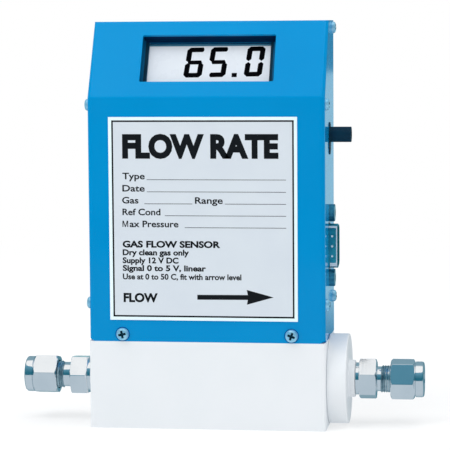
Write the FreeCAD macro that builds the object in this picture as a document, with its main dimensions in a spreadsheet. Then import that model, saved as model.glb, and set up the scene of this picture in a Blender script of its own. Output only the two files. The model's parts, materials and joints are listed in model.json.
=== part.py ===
import FreeCAD, Part
import Sketcher
import math
import os
import re

from FreeCAD import Placement, Rotation, Vector

# Mass flow meter: a white plastic flow body with tube fittings, and a folded sheet housing with a tilted display.
# Millimetres. Origin at the centre of the flow body's underside, +X with the flow, -Y to the front, +Z up.

# Driving sizes
sizes = {
    # housing
    "housing_width": 90.4,
    "housing_depth": 38.0,
    "top_height": 155.0,
    "slope_rise": 28.5,
    "slope_angle": 30.0,
    "sheet": 1.2,
    "bend_radius": 1.8,
    "clip_width": 2.0,
    "clip_height": 1.1,
    "slide_gap": 0.1,
    "front_gap": 0.3,
    # flow body
    "body_overhang": 0.1,
    "body_depth": 38.0,
    "body_height": 33.5,
    "body_corner": 0.8,
    "plinth_height": 8.0,
    "plinth_gap": 0.2,
    "axis_height": 17.4,
    "bore_radius": 9.5,
    "bore_fit": 0.05,
    "boss_radius": 7.15,
    "boss_length": 2.4,
    "port_radius": 5.15,
    "port_depth": 10.0,
    "passage_radius": 2.5,
    "base_hole_spacing": 70.0,
    "base_hole_radius": 1.75,
    "base_hole_depth": 6.4,
    # flow cap
    "cap_radius": 17.3,
    "cap_length": 7.5,
    "cap_bore_radius": 6.5,
    "cap_web": 3.0,
    "cap_ring_inset": 5.0,
    # seals
    "seal_section": 1.78,
    "seal_squeeze": 0.1,
    "seal_gap": 0.03,
    "seal_groove_width": 2.4,
    # screen and laminar element
    "screen_thickness": 0.6,
    "screen_hole_radius": 1.1,
    "screen_hole_ring": 5.6,
    "element_length": 50.8,
    "element_core": 20.0,
    "element_bore_radius": 7.0,
    "channel_radius": 0.9,
    "channel_ring_inner": 2.9,
    "channel_ring_outer": 5.6,
    "tap_spacing": 24.0,
    "tap_radius": 0.8,
    "tap_groove_width": 3.0,
    "tap_groove_depth": 1.0,
    # sensor
    "sensor_length": 46.0,
    "sensor_depth": 16.0,
    "sensor_thickness": 6.0,
    "sensor_corner": 2.0,
    "sensor_screw_spacing": 38.0,
    "sensor_tube_radius": 0.8,
    "sensor_tube_bore": 0.45,
    "sensor_tube_bend": 3.0,
    "sensor_tube_rise": 14.0,
    "sensor_tube_gap": 0.05,
    "winding_radius": 1.7,
    "winding_length": 6.5,
    "winding_spacing": 9.0,
    "sensor_cover_length": 31.0,
    "sensor_cover_depth": 13.0,
    "sensor_cover_height": 19.0,
    "sensor_cover_wall": 1.2,
    "tap_seal_section": 1.0,
    "tap_seal_radius": 1.6,
    "tap_seal_gap": 0.05,
    # tube fittings
    "hex_flats": 14.29,
    "shank_gap": 0.05,
    "shank_length": 9.5,
    "collar_radius": 6.15,
    "collar_length": 1.6,
    "hex_length": 6.5,
    "neck_radius": 4.75,
    "neck_length": 3.4,
    "tube_thread_radius": 5.35,
    "tube_thread_length": 9.1,
    "nut_stand": 5.5,
    "nut_hex_length": 9.2,
    "nut_tail_radius": 6.85,
    "nut_tail_length": 3.6,
    "nut_fit": 0.2,
    "tube_radius": 3.175,
    "tube_gap": 0.075,
    "fitting_bore": 2.4,
    "socket_depth": 14.0,
    "cone_length": 2.4,
    "cone_mouth": 4.6,
    "ferrule_gap": 0.1,
    "ferrule_nose": 2.0,
    "ferrule_land": 0.9,
    "back_ferrule_length": 1.7,
    "back_ferrule_radius": 4.4,
    "hex_chamfer_angle": 30.0,
    "inlet_body_turn": 1.0,
    "inlet_nut_turn": 7.7,
    "outlet_body_turn": -19.5,
    "outlet_nut_turn": 6.5,
    # screws
    "cover_screw_spacing": 64.8,
    "cover_screw_rise": 2.8,
    "cover_screw_head": 2.5,
    "cover_screw_head_height": 1.7,
    "cover_screw_radius": 1.25,
    "cover_screw_length": 8.0,
    "side_screw_front": 4.0,
    "side_screw_back": 5.5,
    "side_screw_low": 14.3,
    "side_screw_mid": 2.9,
    "side_screw_high": 2.8,
    "side_screw_head": 2.3,
    "side_screw_head_height": 1.55,
    "side_screw_radius": 1.1,
    "side_screw_length": 3.6,
    "crown_share": 0.55,
    "screw_gap": 0.25,
    "thread_gap": 0.03,
    # label
    "label_width": 71.9,
    "label_height": 77.3,
    "label_thickness": 0.3,
    "label_rise": 8.3,
    "label_shift": -1.1,
    # display
    "window_width": 51.2,
    "window_height": 20.2,
    "window_shift": 0.35,
    "window_corner": 0.6,
    "frame_rim": 5.5,
    "frame_height": 29.0,
    "frame_depth": 8.9,
    "recess_depth": 3.0,
    "recess_gap": 0.2,
    "view_width": 47.3,
    "view_height": 18.0,
    "view_rise": 0.1,
    "view_lip": 0.8,
    "glass_width": 51.0,
    "glass_height": 22.9,
    "glass_thickness": 2.6,
    "glass_gap": 0.2,
    "strip_width": 2.0,
    "display_board_thickness": 1.6,
    "display_screw_head": 1.9,
    "display_screw_head_height": 1.2,
    "display_screw_radius": 1.0,
    "display_screw_length": 3.5,
    "header_length": 14.0,
    "header_width": 6.0,
    "header_height": 5.0,
    "header_inset": 15.0,
    "cable_radius": 1.5,
    "cable_bend": 2.5,
    "cable_run": 7.0,
    "sensor_cable_radius": 1.1,
    # circuit board
    "board_distance": 8.7,
    "board_thickness": 1.6,
    "board_depth": 30.0,
    "board_gap": 4.5,
    "display_socket_drop": 10.58,
    "chip_width": 7.5,
    "chip_length": 10.3,
    "chip_height": 2.2,
    "controller_side": 12.0,
    "trimmer_width": 4.8,
    "trimmer_length": 9.5,
    "can_radius": 3.15,
    "can_length": 9.0,
    # connector and jack
    "connector_shift": 1.0,
    "connector_height": 68.9,
    "connector_screw_spacing": 24.99,
    "flange_length": 30.81,
    "flange_width": 12.55,
    "flange_thickness": 0.8,
    "shell_length": 18.0,
    "shell_width": 9.0,
    "shell_slant": 10.0,
    "shell_wall": 0.45,
    "shell_corner": 2.6,
    "shell_reach": 5.9,
    "dimple_radius": 0.75,
    "dimple_pitch": 3.86,
    "dimple_reach": 4.2,
    "cutout_gap": 0.5,
    "insulator_length": 19.2,
    "insulator_width": 10.8,
    "insulator_back": 5.2,
    "insulator_front": 1.5,
    "insulator_gap": 0.05,
    "pin_radius": 0.5,
    "pin_pitch": 2.74,
    "pin_row": 2.84,
    "pin_recess": 0.6,
    "pin_gap": 0.05,
    "jack_nut_flats": 6.35,
    "jack_nut_height": 2.1,
    "jack_thread_radius": 1.42,
    "jack_thread_depth": 1.6,
    "jack_stem_length": 6.5,
    "stem_gap": 0.25,
    "jack_drop": 15.0,
    "jack_barrel_radius": 2.95,
    "jack_barrel_reach": 8.4,
    "jack_bore_radius": 1.85,
    "jack_bore_depth": 9.5,
    "jack_pin_radius": 0.65,
    "jack_pin_recess": 1.0,
    "jack_block_width": 11.0,
    "jack_block_height": 10.0,
    "jack_ring_radius": 6.2,
    "jack_ring_drop": 1.5,
    "jack_ring_thickness": 0.35,
    "jack_gap": 0.1,
}

doc = FreeCAD.newDocument("mass_flow_meter")
sheet = doc.addObject("Spreadsheet::Sheet", "Sizes")
for row, (alias, number) in enumerate(sizes.items(), 1):
    sheet.set(f"A{row}", alias)
    sheet.set(f"B{row}", str(number))
    sheet.setAlias(f"B{row}", alias)
doc.recompute()

functions = ("tan", "cos", "sin", "sqrt")
sub_parts = []


def bound(text):
    """Turn a formula of plain size names into one that reads the sheet."""
    def cell(match):
        word = match.group(0)
        return word if word in functions else "Sizes." + word
    return re.sub(r"[a-z][a-z_]*", cell, text)


def size(alias):
    return float(sheet.get(alias))


# Formulas that several pieces share
half_width = "(housing_width / 2)"
half_depth = "(housing_depth / 2)"
chassis_half = "(housing_width / 2 - sheet - slide_gap)"
panel_inside = "(housing_width / 2 - 2 * sheet - slide_gap)"
plinth_half_width = "(housing_width / 2 - 2 * sheet - slide_gap - plinth_gap)"
plinth_half_depth = "(housing_depth / 2 - sheet - plinth_gap)"
plinth_top = "(body_height + plinth_height)"
fold = "(top_height - slope_rise)"
window_middle = "(slope_rise / cos(slope_angle) / 2 + window_shift)"
window_low = "(slope_rise / cos(slope_angle) / 2 + window_shift - window_height / 2)"
window_high = "(slope_rise / cos(slope_angle) / 2 + window_shift + window_height / 2)"
frame_half = "(glass_width / 2 + frame_rim)"
frame_screw = "(glass_width / 2 + frame_rim / 2)"
header_shift = "(glass_width / 2 + frame_rim - header_inset)"
slope_back = "(slope_rise * tan(slope_angle) - housing_depth / 2)"
element_end = "(element_length / 2)"
body_half = "(housing_width / 2 + body_overhang)"
cap_face = "(housing_width / 2 + body_overhang + cap_length + boss_length)"
inlet_face = "(housing_width / 2 + body_overhang + boss_length)"
sensor_top = "(body_height + plinth_height + sensor_thickness)"
board_face = "(housing_width / 2 - 2 * sheet - slide_gap - board_distance)"
board_low = "(body_height + plinth_height + board_gap)"
board_top = "(top_height - slope_rise - board_gap)"
board_height = "(top_height - slope_rise - board_gap - body_height - plinth_height - board_gap)"
jack_height = "(top_height - slope_rise - jack_drop)"
side_low = "(body_height + side_screw_low)"
side_mid = "(top_height - slope_rise - side_screw_mid)"
side_high = "(top_height - side_screw_high)"
tube_hole = "(tube_radius + tube_gap)"
nut_start = "(collar_length + hex_length + nut_stand)"
fitting_end = "(collar_length + hex_length + neck_length + tube_thread_length)"
shell_front = "(housing_width / 2 - 2 * sheet - slide_gap + shell_reach)"


# Building steps

def new_body(label):
    body = doc.addObject("PartDesign::Body", label)
    body.Label = label
    sub_parts.append(body)
    return body


def origin_plane(body, role):
    return next(item for item in body.Origin.OriginFeatures if item.Role == role)


def sketch_on(body, role, lift="0"):
    sketch = body.newObject("Sketcher::SketchObject", body.Label + "_sketch")
    sketch.AttachmentSupport = [(origin_plane(body, role), "")]
    sketch.MapMode = "FlatFace"
    sketch.setExpression("AttachmentOffset.Base.z", bound(lift))
    return sketch


def outline(sketch, corners):
    count = len(corners)
    first = sketch.GeometryCount
    ring = [Vector(9 * math.cos(2 * math.pi * k / count), 9 * math.sin(2 * math.pi * k / count), 0)
            for k in range(count)]
    for k in range(count):
        sketch.addGeometry(Part.LineSegment(ring[k], ring[(k + 1) % count]), False)
    for k in range(count):
        sketch.addConstraint(Sketcher.Constraint("Coincident", first + k, 2, first + (k + 1) % count, 1))
    for k, (across, along) in enumerate(corners):
        held = sketch.addConstraint(Sketcher.Constraint("DistanceX", first + k, 1, ring[k].x))
        sketch.setExpression(f"Constraints[{held}]", bound(across))
        held = sketch.addConstraint(Sketcher.Constraint("DistanceY", first + k, 1, ring[k].y))
        sketch.setExpression(f"Constraints[{held}]", bound(along))


def rectangle(sketch, left, right, low, high):
    outline(sketch, [(left, low), (right, low), (right, high), (left, high)])


def circle(sketch, across, along, radius):
    place = sketch.addGeometry(Part.Circle(Vector(3, 3, 0), Vector(0, 0, 1), 2), False)
    held = sketch.addConstraint(Sketcher.Constraint("DistanceX", place, 3, 3))
    sketch.setExpression(f"Constraints[{held}]", bound(across))
    held = sketch.addConstraint(Sketcher.Constraint("DistanceY", place, 3, 3))
    sketch.setExpression(f"Constraints[{held}]", bound(along))
    held = sketch.addConstraint(Sketcher.Constraint("Radius", place, 2))
    sketch.setExpression(f"Constraints[{held}]", bound(radius))


def volume(body):
    return 0 if body.Shape.isNull() else body.Shape.Volume


def feature(body, kind, sketch, side="One side", length=None, backwards=False):
    """Add a feature and make sure that it changed the solid."""
    before = volume(body)
    added = body.newObject("PartDesign::" + kind, body.Label + "_" + kind.lower())
    added.Profile = sketch
    if length:
        added.SideType = side
        added.setExpression("Length", bound(length))
    added.Reversed = backwards
    doc.recompute()
    if abs(volume(body) - before) < 1e-6:
        raise RuntimeError(body.Label + ": a " + kind + " changed nothing")
    return added


def pad(body, sketch, length, side="One side", backwards=False):
    return feature(body, "Pad", sketch, side, length, backwards)


def pocket(body, sketch, length, side="One side", backwards=False):
    return feature(body, "Pocket", sketch, side, length, backwards)


def turned(body, kind, sketch, axis="H_Axis"):
    before = volume(body)
    added = body.newObject("PartDesign::" + kind, body.Label + "_" + kind.lower())
    added.Profile = sketch
    added.ReferenceAxis = (sketch, [axis])
    added.Angle = 360
    doc.recompute()
    if abs(volume(body) - before) < 1e-6:
        raise RuntimeError(body.Label + ": a " + kind + " changed nothing")
    return added


def round_edges(body, radius, wanted):
    """Round the edges whose middle and direction pass the test."""
    base = body.Tip
    names = []
    for number, edge in enumerate(base.Shape.Edges, 1):
        if edge.Curve.TypeId == "Part::GeomLine" and wanted(edge.CenterOfMass, edge.tangentAt(edge.FirstParameter)):
            names.append(f"Edge{number}")
    if not names:
        raise RuntimeError(body.Label + ": no edge to round")
    added = body.newObject("PartDesign::Fillet", body.Label + "_fillet")
    added.Base = (base, names)
    added.setExpression("Radius", bound(radius))
    doc.recompute()
    if "Invalid" in added.State:
        raise RuntimeError(body.Label + ": the rounding failed")


def ring_pattern(body, original, sketch, count):
    pattern = body.newObject("PartDesign::PolarPattern", body.Label + "_pattern")
    pattern.Originals = [original]
    pattern.Axis = (sketch, ["N_Axis"])
    pattern.Angle = 360
    pattern.Occurrences = count
    body.Tip = pattern
    doc.recompute()


def hexagon(body, start, length, flats, turn):
    """Add a hexagonal length across the X axis, turned about it."""
    prism = body.newObject("PartDesign::AdditivePrism", body.Label + "_hexagon")
    prism.Polygon = 6
    prism.setExpression("Circumradius", bound(flats + " / 2 / cos(30)"))
    prism.setExpression("Height", bound(length))
    prism.AttachmentSupport = [(origin_plane(body, "YZ_Plane"), "")]
    prism.MapMode = "FlatFace"
    prism.AttachmentOffset = Placement(Vector(0, 0, 0), Rotation(Vector(0, 0, 1), 1))
    prism.setExpression("AttachmentOffset.Base.z", bound(start))
    prism.setExpression("AttachmentOffset.Rotation.Angle", bound(turn))
    doc.recompute()


def place(item, across="0", deep="0", up="0"):
    item.setExpression("Placement.Base.x", bound(across))
    item.setExpression("Placement.Base.y", bound(deep))
    item.setExpression("Placement.Base.z", bound(up))


def primitive(kind, name, direction=None, **formulas):
    """Make a Part primitive with its sizes bound to the sheet, turned to a direction first."""
    item = doc.addObject("Part::" + kind, name)
    if direction:
        item.Placement = Placement(Vector(0, 0, 0), Rotation(Vector(0, 0, 1), direction))
    for name_of_size, formula in formulas.items():
        item.setExpression(name_of_size, bound(formula))
    return item


def group(label, items):
    """Several separate solids that share one node."""
    joined = doc.addObject("Part::Compound", label)
    joined.Label = label
    joined.Links = items
    sub_parts.append(joined)
    doc.recompute()
    return joined


def copies(label, shape, places):
    """Identical pieces at several places, as one node."""
    item = doc.addObject("Part::Feature", label)
    item.Label = label
    item.Shape = Part.makeCompound([shape.transformed(spot.toMatrix(), True) for spot in places])
    sub_parts.append(item)


def evaluate(formula):
    """The value of a formula of size names, worked out by the sheet's own document."""
    probe.setExpression("Placement.Base.x", bound(formula))
    doc.recompute([probe])
    return probe.Placement.Base.x


probe = doc.addObject("Part::Box", "probe")


# Flow body: the block, its plinth, the left port boss, and the bores along the flow axis

def flow_body():
    body = new_body("flow_body")
    place(body, up="axis_height")
    block = sketch_on(body, "XY_Plane", "0 - axis_height")
    rectangle(block, "0 - " + body_half, body_half, "0 - body_depth / 2", "body_depth / 2")
    pad(body, block, "body_height")
    round_edges(body, "body_corner", lambda middle, run: abs(run.z) > 0.9)
    plinth = sketch_on(body, "XY_Plane", "body_height - axis_height")
    rectangle(plinth, "0 - " + plinth_half_width, plinth_half_width, "0 - " + plinth_half_depth, plinth_half_depth)
    pad(body, plinth, "plinth_height")
    boss = sketch_on(body, "YZ_Plane", "0 - " + body_half)
    circle(boss, "0", "0", "boss_radius")
    pad(body, boss, "boss_length", backwards=True)

    bores = sketch_on(body, "XZ_Plane")
    bore_start = "(0 - element_length / 2 - screen_thickness)"
    mouth = "(0 - " + inlet_face + ")"
    outline(bores, [
        (mouth, "0"),
        (mouth, "port_radius"),
        (mouth + " + port_depth", "port_radius"),
        (mouth + " + port_depth", "passage_radius"),
        (bore_start, "passage_radius"),
        (bore_start, "bore_radius"),
        (body_half, "bore_radius"),
        (body_half, "0"),
    ])
    turned(body, "Groove", bores)

    taps = sketch_on(body, "XY_Plane", plinth_top + " - axis_height")
    circle(taps, "0 - tap_spacing / 2", "0", "tap_radius")
    circle(taps, "tap_spacing / 2", "0", "tap_radius")
    pocket(body, taps, plinth_top + " - axis_height")
    sensor_holes = sketch_on(body, "XY_Plane", plinth_top + " - axis_height")
    circle(sensor_holes, "0 - sensor_screw_spacing / 2", "0", "cover_screw_radius + thread_gap")
    circle(sensor_holes, "sensor_screw_spacing / 2", "0", "cover_screw_radius + thread_gap")
    pocket(body, sensor_holes, "cover_screw_length")

    for side, backwards in (("", False), ("0 - ", True)):
        holes = sketch_on(body, "XZ_Plane", side + plinth_half_depth)
        for hand in ("0 - ", ""):
            circle(holes, hand + "cover_screw_spacing / 2", "body_height + cover_screw_rise - axis_height",
                   "cover_screw_radius + thread_gap")
        pocket(body, holes, "cover_screw_length", backwards=backwards)
    base_holes = sketch_on(body, "XY_Plane", "0 - axis_height")
    circle(base_holes, "0 - base_hole_spacing / 2", "0", "base_hole_radius")
    circle(base_holes, "base_hole_spacing / 2", "0", "base_hole_radius")
    pocket(body, base_holes, "base_hole_depth", backwards=True)


# Flow cap: a turned end that closes the bore and holds the element

def flow_cap():
    body = new_body("flow_cap")
    place(body, up="axis_height")
    face = body_half
    ring = "(" + body_half + " - cap_ring_inset)"
    groove_radius = "(bore_radius - seal_section + seal_squeeze)"
    profile = sketch_on(body, "XZ_Plane")
    outline(profile, [
        (element_end, "cap_bore_radius"),
        (element_end, "bore_radius - bore_fit"),
        (ring + " - seal_groove_width / 2", "bore_radius - bore_fit"),
        (ring + " - seal_groove_width / 2", groove_radius),
        (ring + " + seal_groove_width / 2", groove_radius),
        (ring + " + seal_groove_width / 2", "bore_radius - bore_fit"),
        (face, "bore_radius - bore_fit"),
        (face, "cap_radius"),
        (face + " + cap_length", "cap_radius"),
        (face + " + cap_length", "boss_radius"),
        (cap_face, "boss_radius"),
        (cap_face, "port_radius"),
        (cap_face + " - port_depth", "port_radius"),
        (cap_face + " - port_depth", "passage_radius"),
        (cap_face + " - port_depth - cap_web", "passage_radius"),
        (cap_face + " - port_depth - cap_web", "cap_bore_radius"),
    ])
    turned(body, "Revolution", profile)


def seal(label, centre):
    """A ring seal in a groove of the flow bore, round the flow axis."""
    ring = primitive("Torus", label, Vector(1, 0, 0),
                     Radius1="bore_radius - seal_section / 2 + seal_squeeze / 2",
                     Radius2="seal_section / 2 - seal_squeeze / 2 - seal_gap")
    ring.Label = label
    place(ring, across=centre, up="axis_height")
    sub_parts.append(ring)


# Screen and laminar flow element

def inlet_screen():
    body = new_body("inlet_screen")
    place(body, across="0 - element_length / 2 - screen_thickness", up="axis_height")
    disc = sketch_on(body, "YZ_Plane")
    circle(disc, "0", "0", "bore_radius - bore_fit")
    circle(disc, "0", "0", "screen_hole_radius")
    pad(body, disc, "screen_thickness")
    hole = sketch_on(body, "YZ_Plane", "screen_thickness")
    circle(hole, "0", "screen_hole_ring", "screen_hole_radius")
    first = pocket(body, hole, "screen_thickness")
    ring_pattern(body, first, hole, 8)


def laminar_element():
    body = new_body("laminar_element")
    place(body, up="axis_height")
    groove = "(bore_radius - tap_groove_depth)"
    seal_floor = "(bore_radius - seal_section + seal_squeeze)"
    skin = "(bore_radius - bore_fit)"
    tap = "tap_spacing / 2"
    half = "tap_groove_width / 2"
    upper = [
        ("0 - " + element_end, skin),
        ("0 - " + tap + " - " + half, skin),
        ("0 - " + tap + " - " + half, groove),
        ("0 - " + tap + " + " + half, groove),
        ("0 - " + tap + " + " + half, skin),
        ("0 - seal_groove_width / 2", skin),
        ("0 - seal_groove_width / 2", seal_floor),
        ("seal_groove_width / 2", seal_floor),
        ("seal_groove_width / 2", skin),
        (tap + " - " + half, skin),
        (tap + " - " + half, groove),
        (tap + " + " + half, groove),
        (tap + " + " + half, skin),
        (element_end, skin),
    ]
    inner = [
        (element_end, "element_bore_radius"),
        ("element_core / 2", "element_bore_radius"),
        ("element_core / 2", "0"),
        ("0 - element_core / 2", "0"),
        ("0 - element_core / 2", "element_bore_radius"),
        ("0 - " + element_end, "element_bore_radius"),
    ]
    profile = sketch_on(body, "XZ_Plane")
    outline(profile, upper + inner)
    turned(body, "Revolution", profile)
    taps = sketch_on(body, "XY_Plane", "bore_radius")
    circle(taps, "0 - " + tap, "0", "tap_radius")
    circle(taps, tap, "0", "tap_radius")
    pocket(body, taps, "2 * bore_radius")
    for ring, count in (("channel_ring_inner", 6), ("channel_ring_outer", 12)):
        channel = sketch_on(body, "YZ_Plane", "element_core / 2")
        circle(channel, "0", ring, "channel_radius")
        first = pocket(body, channel, "element_core")
        ring_pattern(body, first, channel, count)


# Thermal sensor on top of the plinth

def sensor_base():
    body = new_body("sensor_base")
    place(body, up=plinth_top)
    plate = sketch_on(body, "XY_Plane")
    rectangle(plate, "0 - sensor_length / 2", "sensor_length / 2", "0 - sensor_depth / 2", "sensor_depth / 2")
    pad(body, plate, "sensor_thickness")
    round_edges(body, "sensor_corner", lambda middle, run: abs(run.z) > 0.9)
    seats = sketch_on(body, "XY_Plane")
    holes = sketch_on(body, "XY_Plane", "sensor_thickness")
    screws = sketch_on(body, "XY_Plane", "sensor_thickness")
    for hand in ("0 - ", ""):
        circle(seats, hand + "tap_spacing / 2", "0", "tap_seal_radius + tap_seal_section / 2 + tap_seal_gap")
        circle(holes, hand + "tap_spacing / 2", "0", "sensor_tube_radius + sensor_tube_gap")
        circle(screws, hand + "sensor_screw_spacing / 2", "0", "cover_screw_radius + screw_gap")
    pocket(body, seats, "tap_seal_section + tap_seal_gap", backwards=True)
    pocket(body, holes, "sensor_thickness")
    pocket(body, screws, "sensor_thickness")


def sensor_seals():
    rings = []
    for hand in ("0 - ", ""):
        ring = primitive("Torus", "tap_ring", Radius1="tap_seal_radius", Radius2="tap_seal_section / 2")
        place(ring, across=hand + "tap_spacing / 2", up=plinth_top + " + tap_seal_section / 2")
        rings.append(ring)
    group("sensor_seals", rings)


def bent_path(points, bend):
    """Straight runs joined by arcs of one radius."""
    edges = []
    start = points[0]
    for before, corner, after in zip(points, points[1:], points[2:]):
        back = (before - corner).normalize()
        ahead = (after - corner).normalize()
        half = back.getAngle(ahead) / 2
        reach = bend / math.tan(half)
        middle = corner + (back + ahead).normalize() * (bend / math.sin(half) - bend)
        edges.append(Part.LineSegment(start, corner + back * reach).toShape())
        edges.append(Part.Arc(corner + back * reach, middle, corner + ahead * reach).toShape())
        start = corner + ahead * reach
    edges.append(Part.LineSegment(start, points[-1]).toShape())
    return Part.Wire(edges)


def rod(points, bend, radius):
    """A round bar along a bent path."""
    ring = Part.Wire(Part.makeCircle(radius, points[0], points[1] - points[0]))
    return bent_path(points, bend).makePipe(Part.Face(ring))


def sensor_tube():
    """A capillary bent twice, from one tap up, across and down to the other."""
    half = size("tap_spacing") / 2
    foot = evaluate(plinth_top + " + tap_seal_section + tap_seal_gap")
    crown = evaluate(sensor_top + " + sensor_tube_rise")
    corners = [Vector(-half, 0, foot), Vector(-half, 0, crown), Vector(half, 0, crown), Vector(half, 0, foot)]
    bend = size("sensor_tube_bend")
    tube = doc.addObject("Part::Feature", "sensor_tube")
    tube.Label = "sensor_tube"
    tube.Shape = rod(corners, bend, size("sensor_tube_radius")).cut(rod(corners, bend, size("sensor_tube_bore")))
    sub_parts.append(tube)


def sensor_windings():
    windings = []
    for hand in ("0 - ", ""):
        wire = primitive("Cylinder", "winding", Vector(1, 0, 0), Radius="winding_radius", Height="winding_length")
        core = primitive("Cylinder", "winding_core", Vector(1, 0, 0),
                         Radius="sensor_tube_radius + sensor_tube_gap", Height="winding_length")
        for item in (wire, core):
            place(item, across=hand + "winding_spacing / 2 - winding_length / 2", up=sensor_top + " + sensor_tube_rise")
        winding = doc.addObject("Part::Cut", "winding_ring")
        winding.Base = wire
        winding.Tool = core
        windings.append(winding)
    group("sensor_windings", windings)


def sensor_cover():
    body = new_body("sensor_cover")
    place(body, up=sensor_top)
    outside = sketch_on(body, "XY_Plane")
    rectangle(outside, "0 - sensor_cover_length / 2", "sensor_cover_length / 2",
              "0 - sensor_cover_depth / 2", "sensor_cover_depth / 2")
    pad(body, outside, "sensor_cover_height")
    round_edges(body, "sensor_cover_wall", lambda middle, run: abs(run.z) > 0.9)
    inside = sketch_on(body, "XY_Plane")
    rectangle(inside, "0 - sensor_cover_length / 2 + sensor_cover_wall", "sensor_cover_length / 2 - sensor_cover_wall",
              "0 - sensor_cover_depth / 2 + sensor_cover_wall", "sensor_cover_depth / 2 - sensor_cover_wall")
    pocket(body, inside, "sensor_cover_height - sensor_cover_wall", backwards=True)


# Screws

def pan_screw(name, head, head_height, shank, length):
    """A turned screw along +Z, its head's underside at the origin and its shank pointing down."""
    body = doc.addObject("PartDesign::Body", name)
    body.Label = name
    profile = sketch_on(body, "XZ_Plane")
    outline(profile, [
        ("0", "0 - " + length),
        (shank, "0 - " + length),
        (shank, "0"),
        (head, "0"),
        (head, head_height),
        ("0", head_height),
    ])
    turned(body, "Revolution", profile, "V_Axis")
    base = body.Tip
    crown = [f"Edge{number}" for number, edge in enumerate(base.Shape.Edges, 1)
             if edge.Curve.TypeId == "Part::GeomCircle" and edge.CenterOfMass.z > evaluate(head_height) - 0.01]
    dome = body.newObject("PartDesign::Fillet", name + "_crown")
    dome.Base = (base, crown)
    dome.setExpression("Radius", bound(head_height + " * crown_share"))
    doc.recompute()
    if "Invalid" in dome.State:
        raise RuntimeError(name + ": the crown failed")
    return body.Shape


def facing(direction, spot):
    return Placement(spot, Rotation(Vector(0, 0, 1), direction))


def screws():
    half_spacing = size("cover_screw_spacing") / 2
    front = size("housing_depth") / 2
    level = size("body_height") + size("cover_screw_rise")
    long_screw = pan_screw("cover_screw", "cover_screw_head", "cover_screw_head_height", "cover_screw_radius",
                           "cover_screw_length")
    copies("front_screws", long_screw, [facing(Vector(0, -1, 0), Vector(hand * half_spacing, -front, level))
                                        for hand in (-1, 1)])
    copies("back_screws", long_screw, [facing(Vector(0, 1, 0), Vector(hand * half_spacing, front, level))
                                       for hand in (-1, 1)])
    short_screw = pan_screw("side_screw", "side_screw_head", "side_screw_head_height", "side_screw_radius",
                            "side_screw_length")
    wall = size("housing_width") / 2
    near = size("side_screw_front") - front
    far = front - size("side_screw_back")
    spots = [(near, evaluate(side_low)), (near, evaluate(side_mid)), (far, evaluate(side_low)),
             (far, evaluate(side_high))]
    for label, hand in (("left_side_screws", -1), ("right_side_screws", 1)):
        copies(label, short_screw, [facing(Vector(hand, 0, 0), Vector(hand * wall, deep, up)) for deep, up in spots])
    half_spacing = size("sensor_screw_spacing") / 2
    copies("sensor_screws", long_screw, [facing(Vector(0, 0, 1), Vector(hand * half_spacing, 0, evaluate(sensor_top)))
                                         for hand in (-1, 1)])


# Tube fittings. Each is drawn along +X from the port's face; the inlet ones are turned to point left.

def hex_bevel(body, start, end, flats):
    """Turn down the ends of a hexagon at the chamfer angle; a start of None stays sharp."""
    corner = "(" + flats + " / 2 / cos(30) + 0.5)"
    flat = "(" + flats + " / 2)"
    run = "((" + corner + " - " + flat + ") * tan(hex_chamfer_angle))"
    for edge, sign in ((start, " + "), (end, " - ")):
        if edge is None:
            continue
        bevel = sketch_on(body, "XZ_Plane")
        outline(bevel, [(edge, flat), (edge, corner), (edge + sign + run, corner)])
        turned(body, "Groove", bevel)


def fitting_body(side, face, turn):
    body = new_body(side + "_fitting_body")
    hex_end = "(collar_length + hex_length)"
    profile = sketch_on(body, "XZ_Plane")
    outline(profile, [
        ("0 - shank_length", "fitting_bore"),
        ("0 - shank_length", "port_radius - shank_gap"),
        ("0", "port_radius - shank_gap"),
        ("0", "collar_radius"),
        (hex_end, "collar_radius"),
        (hex_end, "neck_radius"),
        (hex_end + " + neck_length", "neck_radius"),
        (hex_end + " + neck_length", "tube_thread_radius"),
        (fitting_end, "tube_thread_radius"),
        (fitting_end, "cone_mouth"),
        (fitting_end + " - cone_length", tube_hole),
        (fitting_end + " - socket_depth", tube_hole),
        (fitting_end + " - socket_depth", "fitting_bore"),
    ])
    turned(body, "Revolution", profile)
    hexagon(body, "collar_length", "hex_length", "hex_flats", turn)
    hex_bevel(body, "collar_length", hex_end, "hex_flats")
    bore = sketch_on(body, "YZ_Plane", "collar_length")
    circle(bore, "0", "0", "fitting_bore")
    if_open = body.Shape.Volume
    pocket(body, bore, "hex_length", backwards=True)
    if body.Shape.Volume >= if_open:
        raise RuntimeError(body.Label + ": its bore is closed")
    socket = sketch_on(body, "YZ_Plane", fitting_end)
    circle(socket, "0", "0", tube_hole)
    pocket(body, socket, "socket_depth")
    lay_out(body, side, face)


def fitting_nut(side, face, turn):
    body = new_body(side + "_fitting_nut")
    hex_end = "(" + nut_start + " + nut_hex_length)"
    tail_end = "(" + hex_end + " + nut_tail_length)"
    profile = sketch_on(body, "XZ_Plane")
    outline(profile, [
        (hex_end + " - 0.1", tube_hole),
        (hex_end + " - 0.1", "nut_tail_radius"),
        (tail_end + " - 0.5", "nut_tail_radius"),
        (tail_end, "nut_tail_radius - 0.5"),
        (tail_end, tube_hole),
    ])
    turned(body, "Revolution", profile)
    hexagon(body, nut_start, "nut_hex_length", "hex_flats", turn)
    hex_bevel(body, nut_start, hex_end, "hex_flats")
    inside = sketch_on(body, "XZ_Plane")
    shoulder = "(" + fitting_end + " + ferrule_land + back_ferrule_length)"
    outline(inside, [
        (nut_start, "0"),
        (nut_start, "tube_thread_radius + nut_fit"),
        (shoulder + " - 1.1", "tube_thread_radius + nut_fit"),
        (shoulder, "back_ferrule_radius"),
        (shoulder, tube_hole),
        (tail_end, tube_hole),
        (tail_end, "0"),
    ])
    turned(body, "Groove", inside)
    lay_out(body, side, face)


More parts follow.
